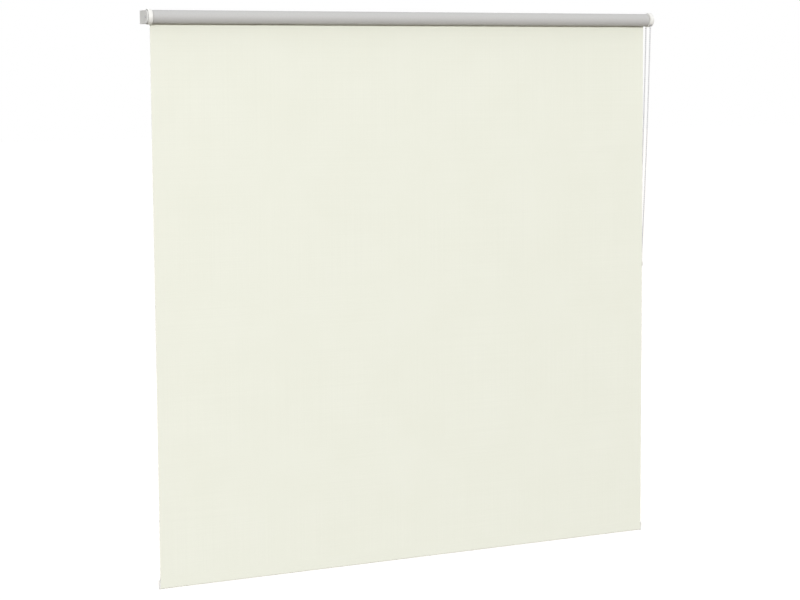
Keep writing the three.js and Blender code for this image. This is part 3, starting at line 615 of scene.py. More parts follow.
def bare_metal(name, colour, roughness, grain):
    """Metal with drawn or rolled lines, as (x, y, z) patches in a metre, and faint spots."""
    made = Finish(name, roughness, Metallic=1.0)
    lines = made.noise(made.place(grain))
    spots = made.noise(made.place(), scale=140)
    made.give("Base Color", made.shaded(spots, colour, darker=-7, lighter=4))
    made.give("Roughness", made.spread(lines, low=roughness - 0.08, high=roughness + 0.1))
    made.bump(lines, GRAIN_DEPTH)
    return made.material


TAPE_DARK = (214, 212, 204)
TAPE_LIGHT = (226, 225, 219)
TAPE_DEPTH = 0.02 * MM


def film():
    """The fixing tape."""
    made = Finish("tape", roughness=0.35, Specular_IOR_Level=0.5)
    cloudy = made.noise(made.place((1, 40, 40)), scale=20)
    made.give("Base Color", made.mix(made.spread(cloudy), tone(TAPE_DARK), tone(TAPE_LIGHT)))
    made.bump(cloudy, TAPE_DEPTH, strength=0.4)
    return made.material


# A plastic has its colour and roughness, and a metal also its grain
PLASTICS = {
    "white_plastic": ((240, 240, 237), 0.36),
    "clutch_plastic": ((228, 227, 221), 0.45),
    "chain_plastic": ((208, 209, 212), 0.34),
}
METALS = {
    "screw_steel": ((196, 198, 201), 0.34, (900, 900, 900)),
    "pin_steel": ((188, 189, 191), 0.3, (900, 4, 4)),
    "spring_steel": ((158, 160, 164), 0.36, (1200, 1200, 1200)),
    "aluminium": ((204, 206, 209), 0.34, (2, 900, 900)),
}
FINISHES = {
    "cloth_front": cloth_front(),
    "cloth_hem": cloth_front("cloth_hem", welded=True),
    "cloth_back": cloth_back(),
    "cloth_edge": cloth_edge(),
    "bracket_steel": painted_steel(),
    "tape": film(),
}
FINISHES |= {name: moulded_white(name, *look) for name, look in PLASTICS.items()}
FINISHES |= {name: bare_metal(name, *look) for name, look in METALS.items()}


def dress_cad():
    """Gives every CAD node the finish of its slot in the record."""
    for part in frame["record"]["subparts"]:
        for slot in nodes[part["node"]].material_slots:
            slot.material = FINISHES[part["material_slot"]]


def seated(obj, body, node):
    """Attaches a piece to the body that it rides on and hides the node that it stands for."""
    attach(obj, body)
    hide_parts(node)


def finished(obj, slot, body, node):
    """Puts one finish on a piece and seats it."""
    obj.data.materials.clear()
    obj.data.materials.append(FINISHES[slot])
    seated(obj, body, node)


# Cloth pieces


def make_cloth():
    front, back, edge = (FINISHES[name] for name in ("cloth_front", "cloth_back", "cloth_edge"))
    roll, length = cloth_strip("cloth_roll", roll_path(), still, [front, back, edge])
    seated(roll, "roller", "fabric_roll")

    drop, length = cloth_strip("cloth_drop", drop_path(), drop_ripple, [back, front, edge])
    seated(drop, "frame", "fabric_drop")
    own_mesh(drop)

    hem, length = cloth_strip("cloth_hem", hem_path(), still, [back, FINISHES["cloth_hem"], edge])
    seated(hem, "bottom_bar", "fabric_hem")


# Route of the chain, as (towards the wall, up) points from the roller's axis

SAG_SLOPE = 4  # a parabola's slope at its ends is this many times its sag over its length
WHEEL_STEPS = 48
STRAND_STEPS = 160


def round_wheel(y, z, radius, start, end):
    return [Vector(p) for p in arc(y, z, radius, start, end, WHEEL_STEPS)]


def strand_leans(nearer):
    """Leans from upright at the top and the foot of a sagging strand whose foot is nearer the wall."""
    return [math.atan((nearer + sign * SAG_SLOPE * CHAIN_SAG) / CHAIN_DROP) for sign in (-1, 1)]


def strand(top, foot, leans):
    """A parabola from top to foot with the given leans."""
    down = [Vector((math.sin(lean), -math.cos(lean))) for lean in leans]
    bend = top + down[0] * ((foot - top).cross(down[1]) / down[0].cross(down[1]))
    shares = [i / STRAND_STEPS for i in range(STRAND_STEPS + 1)]
    return [top * (1 - t) ** 2 + bend * 2 * t * (1 - t) + foot * t ** 2 for t in shares]


def chain_points():
    """The chain's loop as in the CAD model: over the sprocket, down, round the pulley and up."""
    offset = PULLEY_Y - AXIS_Y
    back = strand_leans(offset + PULLEY_RADIUS - CHAIN_RADIUS)
    front = strand_leans(offset - PULLEY_RADIUS + CHAIN_RADIUS)
    to_back = round_wheel(0, 0, CHAIN_RADIUS, QUARTER, back[0])
    under = round_wheel(offset, -CHAIN_DROP, PULLEY_RADIUS, back[1], front[1] - math.pi)
    from_front = round_wheel(0, 0, CHAIN_RADIUS, math.pi + front[0], QUARTER)
    down = strand(to_back[-1], under[0], back)
    up = strand(from_front[0], under[-1], front)[::-1]
    loop = to_back + down[1:] + under[1:] + up[1:] + from_front[1:]
    return [(CHAIN_X, AXIS_Y + p.x, p.y) for p in loop]


def spaced(points, count):
    """count places evenly along a closed line of points, each with its direction."""
    ways = distances(points)
    wanted = np.linspace(0, ways[-1], count, endpoint=False)
    places = np.stack([np.interp(wanted, ways, column) for column in np.array(points).T], axis=1)
    ahead = np.roll(places, -1, axis=0) - np.roll(places, 1, axis=0)
    return places, ahead / np.linalg.norm(ahead, axis=1)[:, None]


# Beads: their rings lie at these shares of the pitch from a bead's middle
BEAD_RING_SHARES = (-0.5, -0.36, -0.31, -0.24, -0.13, 0.0, 0.13, 0.24, 0.31, 0.36)
BEAD_SIDES = 10
BEAD_STEPS = 100


def bead_chain():
    """Beads moulded on a cord: one skin that swells into a ball at each pitch."""
    loop = chain_points()
    total = float(distances(loop)[-1])
    beads = round(total / BEAD_PITCH)
    places, ahead = spaced(loop, beads * BEAD_STEPS)
    side = Vector((1, 0, 0))
    points = []
    for bead in range(beads):
        for share in BEAD_RING_SHARES:
            at = (bead * BEAD_STEPS + round(share * BEAD_STEPS)) % len(places)
            reach = share * total / beads
            ball = math.sqrt(max(BEAD_RADIUS ** 2 - reach ** 2, 0))
            radius = max(ball, CHAIN_CORD_RADIUS)
            points += ring(Vector(places[at]), side, Vector(ahead[at]).cross(side), radius, BEAD_SIDES)
    faces = grid_faces(beads * len(BEAD_RING_SHARES), BEAD_SIDES, wrap_rows=True, wrap_columns=True)
    chain = crease(mesh_object("chain", points, faces), SHARP_ANGLE)
    finished(chain, "chain_plastic", "frame", "bead_chain")


# End caps of the bottom bar

CAP_PROUD = 3 * MM
CAP_LIP = 0.7 * MM
CAP_ROUND = 0.9 * MM
CAP_DISH = 1.5 * MM
CAP_CHAMFER = 0.5 * MM
CAP_SPIGOT = 12 * MM
CAP_STEPS = 24
CAP_ROUND_STEPS = 6
CAP_ANGLE = 40
CAP_REACH = BAR_HALF_DEPTH + BAR_GAP + CLOTH_THICKNESS + CAP_LIP


def cap_rings():
    """(outwards, inset) pairs from the spigot in the bar to the shallow dish in the face."""
    spigot = CAP_REACH - BAR_HALF_DEPTH + BAR_WALL + BAR_GAP
    face = BAR_GAP + CAP_PROUD
    rings = [(-CAP_SPIGOT, spigot + CAP_CHAMFER), (-CAP_SPIGOT + CAP_CHAMFER, spigot)]
    rings += [(BAR_GAP, spigot), (BAR_GAP, CAP_CHAMFER / 2), (BAR_GAP + CAP_CHAMFER / 2, 0)]
    rings += arc(face - CAP_ROUND, CAP_ROUND, CAP_ROUND, -QUARTER, 0, CAP_ROUND_STEPS)
    return rings + [(face, CAP_DISH), (face - CAP_CHAMFER / 2, CAP_DISH + CAP_CHAMFER / 2)]


def bar_cap(side, label):
    """A moulded cap a little larger than the hem, with a rounded rim."""
    rings = cap_rings()
    points = []
    for along, inset in rings:
        radius = CAP_REACH - inset
        outline = arc(BAR_Y, BAR_MIDDLE + BAR_RISE, radius, 0, math.pi, CAP_STEPS)
        outline += arc(BAR_Y, BAR_MIDDLE - BAR_RISE, radius, math.pi, TURN, CAP_STEPS)
        points += [(side * (HALF + along), y, z) for y, z in outline]
    faces = tube_faces(len(rings), 2 * (CAP_STEPS + 1))
    cap = crease(mesh_object(f"end_cap_{label}", points, faces), CAP_ANGLE)
    finished(cap, "white_plastic", "bottom_bar", f"bar_cap_{label}")


# Ends of the roller. Lengths along the axis count outwards from the tube's end, and the wall is at +Y

RUN_GAP = 0.3 * MM
DISC_RADIUS = 20 * MM
DISC_START = 1.6 * MM
DISC_END = 13.1 * MM
DISC_WALL = 1.5 * MM
DISC_FILLET = 1.2 * MM
COVER_END = 2.8 * MM
COVER_FILLET = 0.6 * MM
SPROCKET_START = 3.1 * MM
HOUSING_FLOOR = 9.8 * MM
PLATE_START = 13.4 * MM
PLATE_END = 15.4 * MM
PLATE = PLATE_END - PLATE_START
ARM_HALF = 17 * MM
CUT_PAST = 1 * MM
FILLET_STEPS = 8
CORNER_STEPS = 10
COVER_STEPS = 5
MOULD_EDGE = 0.22 * MM
PAINT_EDGE = 0.3 * MM
DISC_SIDES = 96
BUSH_SIDES = 64
PIN_SIDES = 48
ROD_SIDES = 32


def turned(name, side, profile, sides=DISC_SIDES):
    """Turns (radius, outwards) pairs round the roller's axis at one end."""
    return lathe(name, profile, sides, (side, 0, 0), (side * HALF, AXIS_Y, 0))


def end_place(side):
    """Places (towards the wall, up, outwards) at one end of the roller."""
    return lambda wall, height, outwards: (side * (HALF + outwards), AXIS_Y + wall, height)


def right_block(name, low, high):
    """A block between two corners given as (towards the wall, up, outwards)."""
    return block(name, low, high, end_place(1))


def left_rod(name, height, radius, start, end, sides=ROD_SIDES):
    """A rod along the roller, its middle above the axis by height."""
    return prism(name, circle(0, height, radius, sides), start, end, end_place(-1))


PEG_RADIUS = 1.4 * MM
PEG_BOSS_RADIUS = 2.7 * MM
PEG_HEIGHT = 12 * MM
PIN_RADIUS = 3 * MM


def left_end_cover():
    """A round shell that is open towards the bracket, with two pegs that hold it in the plate."""
    floor = DISC_START + DISC_WALL
    hole = PIN_RADIUS + 2 * RUN_GAP
    edge = DISC_RADIUS - DISC_FILLET
    profile = [(hole, DISC_START)]
    profile += arc(edge, DISC_START + DISC_FILLET, DISC_FILLET, -QUARTER, 0, FILLET_STEPS)
    profile += arc(edge, DISC_END - DISC_FILLET, DISC_FILLET, 0, QUARTER, FILLET_STEPS)
    profile += [(DISC_RADIUS - DISC_WALL, DISC_END), (DISC_RADIUS - DISC_WALL, floor), (hole, floor)]
    cover = turned("round_cover", -1, profile)
    for height in (-PEG_HEIGHT, PEG_HEIGHT):
        boss = left_rod("boss", height, PEG_BOSS_RADIUS, floor - DISC_WALL / 2, DISC_END)
        peg = left_rod("peg", height, PEG_RADIUS, DISC_END - PEG_RADIUS, PLATE_END - RUN_GAP)
        combined(cover, "UNION", boss, peg)
    softened(cover, MOULD_EDGE)
    finished(cover, "white_plastic", "frame", "left_end_cover")


BUSH_WALL = 1.6 * MM
BUSH_FLANGE = 1.2 * MM
BUSH_FLANGE_RADIUS = 7 * MM


def idle_bush():
    """The lining of the bracket's hole, with a flange behind the plate."""
    bore = PIN_RADIUS + RUN_GAP
    back = PLATE_START - RUN_GAP
    outside = bore + BUSH_WALL
    profile = [(bore, PLATE_END), (outside, PLATE_END), (outside, back), (BUSH_FLANGE_RADIUS, back)]
    profile += [(BUSH_FLANGE_RADIUS, back - BUSH_FLANGE), (bore, back - BUSH_FLANGE)]
    bush = softened(turned("pin_bush", -1, profile, BUSH_SIDES), MOULD_EDGE)
    finished(bush, "clutch_plastic", "frame", "idle_bush")


PIN_PROUD = 1.6 * MM
PIN_CHAMFER = 0.6 * MM
PIN_DIMPLE = 0.9 * MM
PIN_EDGE = 0.1 * MM
PIN_TAIL_RADIUS = 2.3 * MM
PIN_TAIL = -38 * MM
COLLAR_RADIUS = 7.3 * MM
COLLAR_INNER = -6.3 * MM
COLLAR_OUTER = -4.3 * MM


def idle_pin():
    """A stepped pin with a collar for its spring and a dimple in its tip."""
    tip = PLATE_END + PIN_PROUD
    profile = [(0, PIN_TAIL), (PIN_TAIL_RADIUS, PIN_TAIL), (PIN_TAIL_RADIUS, COLLAR_INNER)]
    profile += [(COLLAR_RADIUS, COLLAR_INNER), (COLLAR_RADIUS, COLLAR_OUTER)]
    profile += [(PIN_RADIUS, COLLAR_OUTER), (PIN_RADIUS, tip - PIN_CHAMFER)]
    profile += [(PIN_RADIUS - PIN_CHAMFER, tip), (PIN_DIMPLE, tip), (0, tip - PIN_DIMPLE / 2)]
    pin = softened(turned("sprung_pin", -1, profile, PIN_SIDES), PIN_EDGE, segments=1)
    finished(pin, "pin_steel", "idle_pin", "idle_pin")


SPRING_WIRE = 0.4 * MM
SPRING_RADIUS = 4.05 * MM
SPRING_CURLS = 8
SPRING_ENDS = (-37.6 * MM, -7.0 * MM)  # fixed in the plug, and on the pin's collar
SPRING_SIDES = 10
SPRING_STEPS = 28
PIN_TRAVEL = 9 * MM


def idle_spring():
    """The coil that pushes the pin out."""
    fixed, free = SPRING_ENDS
    place = end_place(-1)
    last = SPRING_CURLS * SPRING_STEPS
    points = []
    for i in range(last + 1):
        angle = TURN * i / SPRING_STEPS
        along = fixed + (free - fixed) * i / last
        for k in range(SPRING_SIDES):
            turn = TURN * k / SPRING_SIDES
            radius = SPRING_RADIUS + SPRING_WIRE * math.cos(turn)
            wall, height = radius * math.cos(angle), radius * math.sin(angle)
            points.append(place(wall, height, along + SPRING_WIRE * math.sin(turn)))
    coil = mesh_object("coil_spring", points, tube_faces(last + 1, SPRING_SIDES))
    finished(coil, "spring_steel", "roller", "idle_spring")
    length = free - fixed
    anchor, keep = place(0, 0, fixed), (length - PIN_TRAVEL) / length
    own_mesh(coil)
    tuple(anchor)


CORE_RADIUS = 4.2 * MM
CORE_END = -19.9 * MM
RELIEF_DEPTH = 1.6 * MM
RELIEF_WALL = 3 * MM
BOSS_HALF = 6 * MM
OPENING_PLAY = 1.35 * MM
OPENING_HALF = BEAD_RADIUS + OPENING_PLAY
HUB_BORE = 7.6 * MM
LIP_DEPTH = 1.8 * MM
LIP_WALL = 1.2 * MM


def clutch_housing():
    """A round shell over the sprocket, with a fixed core, a square boss and two chain openings."""
    rim = DISC_RADIUS - DISC_WALL
    near, far = BOSS_HALF * math.sqrt(2) + RELIEF_WALL / 2, rim - RELIEF_WALL
    sunk, back = DISC_END - RELIEF_DEPTH, DISC_END - DISC_FILLET
    profile = [(0, DISC_END), (near, DISC_END), (near, sunk), (far, sunk), (far, DISC_END)]
    profile += arc(DISC_RADIUS - DISC_FILLET, back, DISC_FILLET, QUARTER, 0, FILLET_STEPS)
    profile += [(DISC_RADIUS, SPROCKET_START), (rim, SPROCKET_START), (rim, HOUSING_FLOOR)]
    profile += [(CORE_RADIUS, HOUSING_FLOOR), (CORE_RADIUS, CORE_END), (0, CORE_END)]
    housing = turned("chain_housing", 1, profile)
    for side in (-1, 1):
        middle = side * (CHAIN_RADIUS + RUN_GAP / 2)
        low = (middle - OPENING_HALF, -DISC_RADIUS - CUT_PAST, SPROCKET_START - CUT_PAST)
        high = (middle + OPENING_HALF, -CHAIN_RADIUS, HOUSING_FLOOR)
        combined(housing, "DIFFERENCE", right_block("opening", low, high))
    low = (-BOSS_HALF, -BOSS_HALF, DISC_END - RELIEF_DEPTH / 2)
    boss = right_block("boss", low, (BOSS_HALF, BOSS_HALF, PLATE_END - RUN_GAP))
    combined(housing, "UNION", boss)
    softened(housing, MOULD_EDGE)
    finished(housing, "white_plastic", "frame", "clutch_housing")


def clutch_cover():
    """The housing's inner shell: a thin disc with a lip in the rim, open below for the chain."""
    lip = DISC_RADIUS - DISC_WALL - RUN_GAP
    edge = DISC_RADIUS - COVER_FILLET
    profile = [(HUB_BORE, DISC_START)]
    profile += arc(edge, DISC_START + COVER_FILLET, COVER_FILLET, -QUARTER, 0, COVER_STEPS)
    profile += [(DISC_RADIUS, COVER_END), (lip, COVER_END), (lip, COVER_END + LIP_DEPTH)]
    profile += [(lip - LIP_WALL, COVER_END + LIP_DEPTH), (lip - LIP_WALL, COVER_END)]
    profile += [(HUB_BORE, COVER_END)]
    cover = turned("housing_front", 1, profile)
    reach = DISC_RADIUS + CUT_PAST
    high = (reach, -CHAIN_RADIUS * math.sqrt(0.5), COVER_END + LIP_DEPTH + CUT_PAST)
    combined(cover, "DIFFERENCE", right_block("gate", (-reach, -reach, COVER_END), high))
    softened(cover, MOULD_EDGE / 2)
    finished(cover, "white_plastic", "frame", "clutch_cover")


# Brackets: bent steel plates, their arm to the roller's end and their flange inwards along the wall

BEND_INSIDE = 1.5 * MM
BEND_OUTSIDE = BEND_INSIDE + PLATE
BEND_STEPS = (8, 12)
FLANGE_WIDTH = 30 * MM
FLANGE_CORNER = 4 * MM
FLANGE_TIP = PLATE_END - FLANGE_WIDTH
FLANGE_FACE = AXIS_TO_WALL - PLATE
ARM_STEPS = 48
GUSSET_LEG = 8 * MM
GUSSET_HALF = 1.5 * MM
SLOT_RADIUS = 2.2 * MM
SLOT_HALF = 3.5 * MM
SLOT_STEPS = 12
SCREW_SPACING = 19 * MM
SCREW_ACROSS = PLATE_START - FLANGE_WIDTH / 2


def plate_outline():
    """The bent plate from above, as (towards the wall, outwards) pairs."""
    within, around = BEND_STEPS
    bent = [(-ARM_HALF, PLATE_START)]
    bent += arc(FLANGE_FACE - BEND_INSIDE, PLATE_START - BEND_INSIDE, BEND_INSIDE, QUARTER, 0, within)
    bent += [(FLANGE_FACE, FLANGE_TIP), (AXIS_TO_WALL, FLANGE_TIP)]
    bent += arc(AXIS_TO_WALL - BEND_OUTSIDE, PLATE_END - BEND_OUTSIDE, BEND_OUTSIDE, 0, QUARTER, around)
    return bent + [(-ARM_HALF, PLATE_END)]


def arm_outline():
    """The arm from the side, round in front, as (towards the wall, up) pairs."""
    wall = AXIS_TO_WALL + CUT_PAST
    front = arc(0, 0, ARM_HALF, QUARTER, 3 * QUARTER, ARM_STEPS)
    return front + [(wall, -ARM_HALF), (wall, ARM_HALF)]


def flange_outline():
    """The flange from the front, with round corners, as (outwards, up) pairs."""
    high, tip = ARM_HALF - FLANGE_CORNER, FLANGE_TIP + FLANGE_CORNER
    past, end = ARM_HALF + CUT_PAST, PLATE_END + CUT_PAST
    found = arc(tip, high, FLANGE_CORNER, QUARTER, 2 * QUARTER, CORNER_STEPS)
    found += arc(tip, -high, FLANGE_CORNER, 2 * QUARTER, 3 * QUARTER, CORNER_STEPS)
    return found + [(end, -past), (end, past)]


def gusset_outline():
    """The gusset in the bend from above, as (towards the wall, outwards) pairs."""
    deep, out = FLANGE_FACE + PLATE / 2, PLATE_START + PLATE / 2
    wall, tip = FLANGE_FACE - GUSSET_LEG, PLATE_START - GUSSET_LEG
    return [(deep, out), (wall, out), (wall, PLATE_START), (FLANGE_FACE, tip), (deep, tip)]


def slot_outline(height):
    """A screw's slot from the front, as (outwards, up) pairs."""
    reach = SLOT_HALF - SLOT_RADIUS
    slot = arc(SCREW_ACROSS + reach, height, SLOT_RADIUS, -QUARTER, QUARTER, SLOT_STEPS)
    return slot + arc(SCREW_ACROSS - reach, height, SLOT_RADIUS, QUARTER, 3 * QUARTER, SLOT_STEPS)


def bracket(side, node, *holes):
    """A bent plate with a gusset, two slots and the holes that its fittings need."""
    place = end_place(side)

    def from_above(wall, out, up):
        return place(wall, up, out)

    def from_front(out, up, wall):
        return place(wall, up, out)

    wall, past = AXIS_TO_WALL + CUT_PAST, ARM_HALF + CUT_PAST
    plate = prism(f"{node}_plate", plate_outline(), -ARM_HALF, ARM_HALF, from_above)
    arm = prism("arm", arm_outline(), FLANGE_TIP - CUT_PAST, PLATE_END + CUT_PAST, place)
    flange = prism("flange", flange_outline(), -past, wall, from_front)
    combined(plate, "INTERSECT", arm, flange)
    combined(plate, "UNION", prism("gusset", gusset_outline(), -GUSSET_HALF, GUSSET_HALF, from_above))
    for height in (-SCREW_SPACING / 2, SCREW_SPACING / 2):
        slot = prism("slot", slot_outline(height), FLANGE_FACE - CUT_PAST, wall, from_front)
        combined(plate, "DIFFERENCE", slot)
    combined(plate, "DIFFERENCE", *holes)
    softened(plate, PAINT_EDGE)
    finished(plate, "bracket_steel", "frame", node)


def brackets():
    """The left one has holes for the bush and the cover's pegs, the right one a square hole."""
    start, end = PLATE_START - CUT_PAST, PLATE_END + CUT_PAST
    bush = left_rod("hole", 0, PIN_RADIUS + BUSH_WALL + 2 * RUN_GAP, start, end, PIN_SIDES)
    heights = (-PEG_HEIGHT, PEG_HEIGHT)
    pegs = [left_rod("hole", height, PEG_RADIUS + RUN_GAP, start, end) for height in heights]
    bracket(-1, "left_bracket", bush, *pegs)
    half = BOSS_HALF + RUN_GAP
    bracket(1, "right_bracket", right_block("hole", (-half, -half, start), (half, half, end)))


# Screws: round heads with a cross recess, and a thread that runs out to the point

SCREW_LENGTH = 25 * MM
SHANK_RADIUS = 1.9 * MM
SHANK_SUNK = 0.5 * MM
SHANK_SIDES = 20
SHANK_ROWS = 8
THREAD_DEPTH = 0.45 * MM
THREAD_PITCH = 1.8 * MM
THREAD_START = 3 * MM
RIDGE_SLOPE = 4
TIP_LENGTH = 5 * MM
TIP_CURVE = 0.8
POINT_SHARE = 0.03
HEAD_RADIUS = 3.9 * MM
HEAD_HEIGHT = 2.4 * MM
HEAD_EDGE = 0.2 * MM
HEAD_BACK_SHARE = 0.96
HEAD_POINTS = 10
HEAD_SOFT = 0.12 * MM
RECESS_SPAN = 4.2 * MM
RECESS_WIDTH = 0.9 * MM
RECESS_DEPTH = 1.5 * MM


def shank_radius(along, share):
    """The screw's radius at a length along it and a share of a turn round it."""
    turn = (along / THREAD_PITCH - share) % 1
    ridge = max(0.0, 1 - abs(turn - 0.5) * RIDGE_SLOPE) if along > THREAD_START else 1.0
    taper = min(1.0, max(SCREW_LENGTH - along, 0) / TIP_LENGTH) ** TIP_CURVE
    return (SHANK_RADIUS - THREAD_DEPTH * (1 - ridge)) * max(taper, POINT_SHARE)


def screw_shank(name, x, z, seat):
    """The shank's skin: its radius follows a thread that winds towards the point."""
    rows = round(SCREW_LENGTH / THREAD_PITCH * SHANK_ROWS)
    points = []
    for i in range(rows + 1):
        along = SCREW_LENGTH * i / rows
        for k in range(SHANK_SIDES):
            radius = shank_radius(along, k / SHANK_SIDES)
            angle = TURN * k / SHANK_SIDES
            points.append((x + radius * math.cos(angle), seat + along, z + radius * math.sin(angle)))
    return mesh_object(name, points, tube_faces(rows + 1, SHANK_SIDES))


def wall_screw(node, x, z, plate):
    """A screw driven into the wall, its head against a plate."""
    seat = -plate - RUN_GAP
    angles = np.linspace(0, QUARTER, HEAD_POINTS)
    dome = [(HEAD_RADIUS * math.cos(a), HEAD_HEIGHT * math.sin(a)) for a in angles]
    profile = [(0, -HEAD_EDGE), (HEAD_RADIUS * HEAD_BACK_SHARE, -HEAD_EDGE)]
    profile += dome[:-1] + [(0, HEAD_HEIGHT)]
    head = lathe(f"{node}_piece", profile, PIN_SIDES, (0, -1, 0), (x, seat - HEAD_EDGE, z))
    for span, width in ((RECESS_SPAN / 2, RECESS_WIDTH / 2), (RECESS_WIDTH / 2, RECESS_SPAN / 2)):
        low = (x - span, seat - HEAD_HEIGHT - CUT_PAST, z - width)
        high = (x + span, seat - HEAD_HEIGHT + RECESS_DEPTH, z + width)
        combined(head, "DIFFERENCE", block("recess", low, high))
    softened(head, HEAD_SOFT, segments=1)
    joined(head, screw_shank("shank", x, z, seat - SHANK_SUNK))
    finished(head, "screw_steel", "frame", node)


TENSIONER_SPACING = 40 * MM
TENSIONER_BASE = 2.5 * MM


def wall_screws():
    for sign, place in ((1, "upper"), (-1, "lower")):
        for side, label in ENDS:
            x = side * (HALF + SCREW_ACROSS)
            wall_screw(f"{label}_bracket_screw_{place}", x, sign * SCREW_SPACING / 2, PLATE)
        z = sign * TENSIONER_SPACING / 2 - CHAIN_DROP
        wall_screw(f"tensioner_screw_{place}", CHAIN_X, z, TENSIONER_BASE)


# Chain tensioner: a base on the wall with two cheeks, which carry a pulley on a pin

PULLEY_HALF = 3.5 * MM
PULLEY_RIM = 2 * MM
PULLEY_SIDES = 72
GROOVE_GAP = 0.36 * MM
GROOVE_STEPS = 14
AXLE_RADIUS = 2 * MM
AXLE_HEAD_RADIUS = 3.4 * MM
AXLE_HEAD = 1.2 * MM
AXLE_TOP_SHARE = 0.8
AXLE_EDGE = 0.15 * MM
CHEEK_INNER = PULLEY_HALF + RUN_GAP
CHEEK_WIDTH = 2.2 * MM
CHEEK_OUTER = CHEEK_INNER + CHEEK_WIDTH
CHEEK_RADIUS = 8 * MM
CHEEK_STEPS = 32
BASE_HALF_WIDTH = 12 * MM
BASE_HALF_HEIGHT = 28 * MM
BASE_CORNER = 5 * MM
BODY_EDGE = 0.4 * MM


def on_pulley(wall, up, along):
    """Places (towards the wall, up, along the axis) about the tensioner's pulley."""
    return (CHAIN_X + along, PULLEY_Y + wall, up - CHAIN_DROP)


def on_base(along, up, wall):
    """Places (along the axis, up, towards the wall) about the tensioner's pulley."""
    return on_pulley(wall, up, along)


def pulley_lathe(name, profile, sides):
    return lathe(name, profile, sides, (1, 0, 0), (CHAIN_X, PULLEY_Y, -CHAIN_DROP))


def base_outline():
    """The base from the front, with round corners, as (along the axis, up) pairs."""
    base = []
    for turn, (x, z) in enumerate(((1, 1), (-1, 1), (-1, -1), (1, -1))):
        middle = (x * (BASE_HALF_WIDTH - BASE_CORNER), z * (BASE_HALF_HEIGHT - BASE_CORNER))
        base += arc(*middle, BASE_CORNER, turn * QUARTER, (turn + 1) * QUARTER, CORNER_STEPS)
    return base


def tensioner_body():
    wall = -PULLEY_Y
    body = prism("chain_guide", base_outline(), wall - TENSIONER_BASE, wall, on_base)
    foot = wall - TENSIONER_BASE / 2
    cheek = arc(0, 0, CHEEK_RADIUS, QUARTER, 3 * QUARTER, CHEEK_STEPS)
    cheek += [(foot, -CHEEK_RADIUS), (foot, CHEEK_RADIUS)]
    combined(body, "UNION", prism("cheek", cheek, CHEEK_INNER, CHEEK_OUTER, on_pulley))
    combined(body, "UNION", prism("cheek", cheek, -CHEEK_OUTER, -CHEEK_INNER, on_pulley))
    reach = CHEEK_OUTER + CUT_PAST
    bore = circle(0, 0, AXLE_RADIUS + RUN_GAP, ROD_SIDES)
    combined(body, "DIFFERENCE", prism("bore", bore, -reach, reach, on_pulley))
    start, end = wall - TENSIONER_BASE - CUT_PAST, wall + CUT_PAST
    for height in (-TENSIONER_SPACING / 2, TENSIONER_SPACING / 2):
        hole = circle(0, height, SLOT_RADIUS, ROD_SIDES)
        combined(body, "DIFFERENCE", prism("hole", hole, start, end, on_base))
    softened(body, BODY_EDGE, segments=3)
    finished(body, "white_plastic", "frame", "tensioner_body")


def tensioner_pulley():
    """A wheel with a round groove for the beads."""
    groove = BEAD_RADIUS + GROOVE_GAP
    rim = PULLEY_RADIUS + PULLEY_RIM
    bore = AXLE_RADIUS + RUN_GAP
    profile = [(bore, -PULLEY_HALF), (rim, -PULLEY_HALF), (rim, -groove)]
    profile += arc(PULLEY_RADIUS, 0, groove, -QUARTER, -3 * QUARTER, GROOVE_STEPS)
    profile += [(rim, groove), (rim, PULLEY_HALF), (bore, PULLEY_HALF)]
    pulley = softened(pulley_lathe("chain_pulley", profile, PULLEY_SIDES), MOULD_EDGE)
    finished(pulley, "clutch_plastic", "tensioner_pulley", "tensioner_pulley")


def tensioner_pin():
    """The pulley's axle, headed on its right."""
    tail = -CHEEK_OUTER - AXLE_HEAD / 2
    start = CHEEK_OUTER + RUN_GAP
    profile = [(0, tail), (AXLE_RADIUS, tail), (AXLE_RADIUS, start), (AXLE_HEAD_RADIUS, start)]
    profile += [(AXLE_HEAD_RADIUS, start + AXLE_HEAD / 2)]
    profile += [(AXLE_HEAD_RADIUS * AXLE_TOP_SHARE, start + AXLE_HEAD), (0, start + AXLE_HEAD)]
    pin = softened(pulley_lathe("pulley_pin", profile, PIN_SIDES), AXLE_EDGE)
    finished(pin, "pin_steel", "frame", "tensioner_pin")


# Stage. The floor gives back its shares of red, green and blue, and the camera sees it near white

FLOOR_Z = -2.4
FLOOR_HALF = 60
FLOOR_SHARES = (0.14, 0.115, 0.085)
FLOOR_GLOW = 0.96


def seen_white(tree):
    """1 for what the camera sees straight on, in gloss and through glass, and 0 for soft light."""
    path = add_node(tree, "ShaderNodeLightPath").outputs
    seen = path["Is Camera Ray"]
    for way in ("Is Glossy Ray", "Is Transmission Ray"):
        seen = add_node(tree, "ShaderNodeMath", {0: seen, 1: path[way]}, operation="MAXIMUM").outputs[0]
    return seen


def floor_paint():
    """Diffuse paint with a glow that only the camera, gloss and glass see."""
    made = bpy.data.materials.new("floor")
    made.use_nodes = True
    tree = made.node_tree
    tree.nodes.clear()
    paint = add_node(tree, "ShaderNodeBsdfDiffuse", {"Color": (*FLOOR_SHARES, 1)})
    inputs = {0: seen_white(tree), 1: FLOOR_GLOW}
    strength = add_node(tree, "ShaderNodeMath", inputs, operation="MULTIPLY")
    glow = add_node(tree, "ShaderNodeEmission", {"Strength": strength.outputs[0]})
    both = add_node(tree, "ShaderNodeAddShader", {0: paint.outputs[0], 1: glow.outputs[0]})
    add_node(tree, "ShaderNodeOutputMaterial", {"Surface": both.outputs[0]})
    return made


def make_floor():
    corners = ((-1, -1), (1, -1), (1, 1), (-1, 1))
    points = [(x * FLOOR_HALF, y * FLOOR_HALF, FLOOR_Z) for x, y in corners]
    floor = mesh_object("floor", points, [(0, 1, 2, 3)])
    floor.data.materials.append(floor_paint())


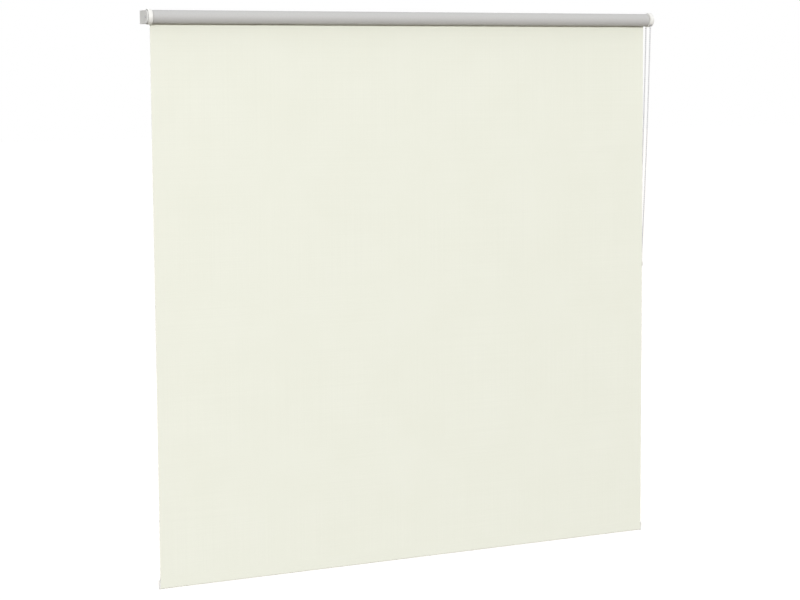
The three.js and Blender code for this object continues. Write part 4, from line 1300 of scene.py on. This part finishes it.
# Light from the whole sky, strongest from overhead, and two lamps. Sizes are in metres

SKY_LIGHT = 0.45
TOP_LIGHT = 0.9
OVERHEAD_WAY = Vector((-0.2, 0.45, 0.87)).normalized()
LIT_PLACE = Vector((0, AXIS_Y, -0.7))
FRONT_LAMP = {"place": (-5.2, -19.3, 2.8), "size": (15.0, 1.6), "watts": 3090}
BACK_LAMP = {"place": (3.0, 8.5, 0.4), "size": (8.0, 4.5), "watts": 330}


def make_world():
    world = bpy.data.worlds.new("studio")
    bpy.context.scene.world = world
    world.use_nodes = True
    tree = world.node_tree
    way = add_node(tree, "ShaderNodeTexCoord").outputs["Generated"]
    facing = add_node(tree, "ShaderNodeVectorMath", {0: way, 1: OVERHEAD_WAY}, operation="DOT_PRODUCT")
    inputs = {"Value": facing.outputs["Value"], "To Min": SKY_LIGHT, "To Max": TOP_LIGHT}
    soft = add_node(tree, "ShaderNodeMapRange", inputs).outputs["Result"]
    inputs = {"Factor": seen_white(tree), "A": soft, "B": 1.0}
    strength = add_node(tree, "ShaderNodeMix", inputs).outputs["Result"]
    background = tree.nodes["Background"]
    background.inputs["Color"].default_value = (1, 1, 1, 1)
    feed(tree, background.inputs["Strength"], strength)


def lamp(name, place, size, watts):
    """A soft rectangular lamp that faces the blind."""
    data = bpy.data.lights.new(name, "AREA")
    data.shape = "RECTANGLE"
    data.size, data.size_y = size
    data.energy = watts
    obj = linked(name, data)
    obj.location = place
    obj.rotation_euler = (LIT_PLACE - Vector(place)).to_track_quat("-Z", "Y").to_euler()


def make_camera():
    data = bpy.data.cameras.new("camera")
    data.sensor_width = SENSOR
    data.lens = FOCAL_PIXELS * SENSOR / PHOTO_WIDTH
    data.shift_y = CAMERA_SHIFT
    camera = linked("camera", data)
    place = Matrix.Translation(CAMERA_PLACE)
    for angle, axis in ((-CAMERA_YAW, "Z"), (QUARTER + CAMERA_PITCH, "X"), (CAMERA_ROLL, "Z")):
        place = place @ Matrix.Rotation(angle, 4, axis)
    camera.matrix_world = place
    bpy.context.scene.camera = camera


bpy.context.scene.view_settings.view_transform = "Standard"
make_camera()
dress_cad()
make_cloth()
bead_chain()
for side, label in ENDS:
    bar_cap(side, label)
left_end_cover()
idle_bush()
idle_pin()
idle_spring()
clutch_housing()
clutch_cover()
brackets()
wall_screws()
tensioner_body()
tensioner_pulley()
tensioner_pin()
make_floor()
make_world()
lamp("front", **FRONT_LAMP)
lamp("behind", **BACK_LAMP)
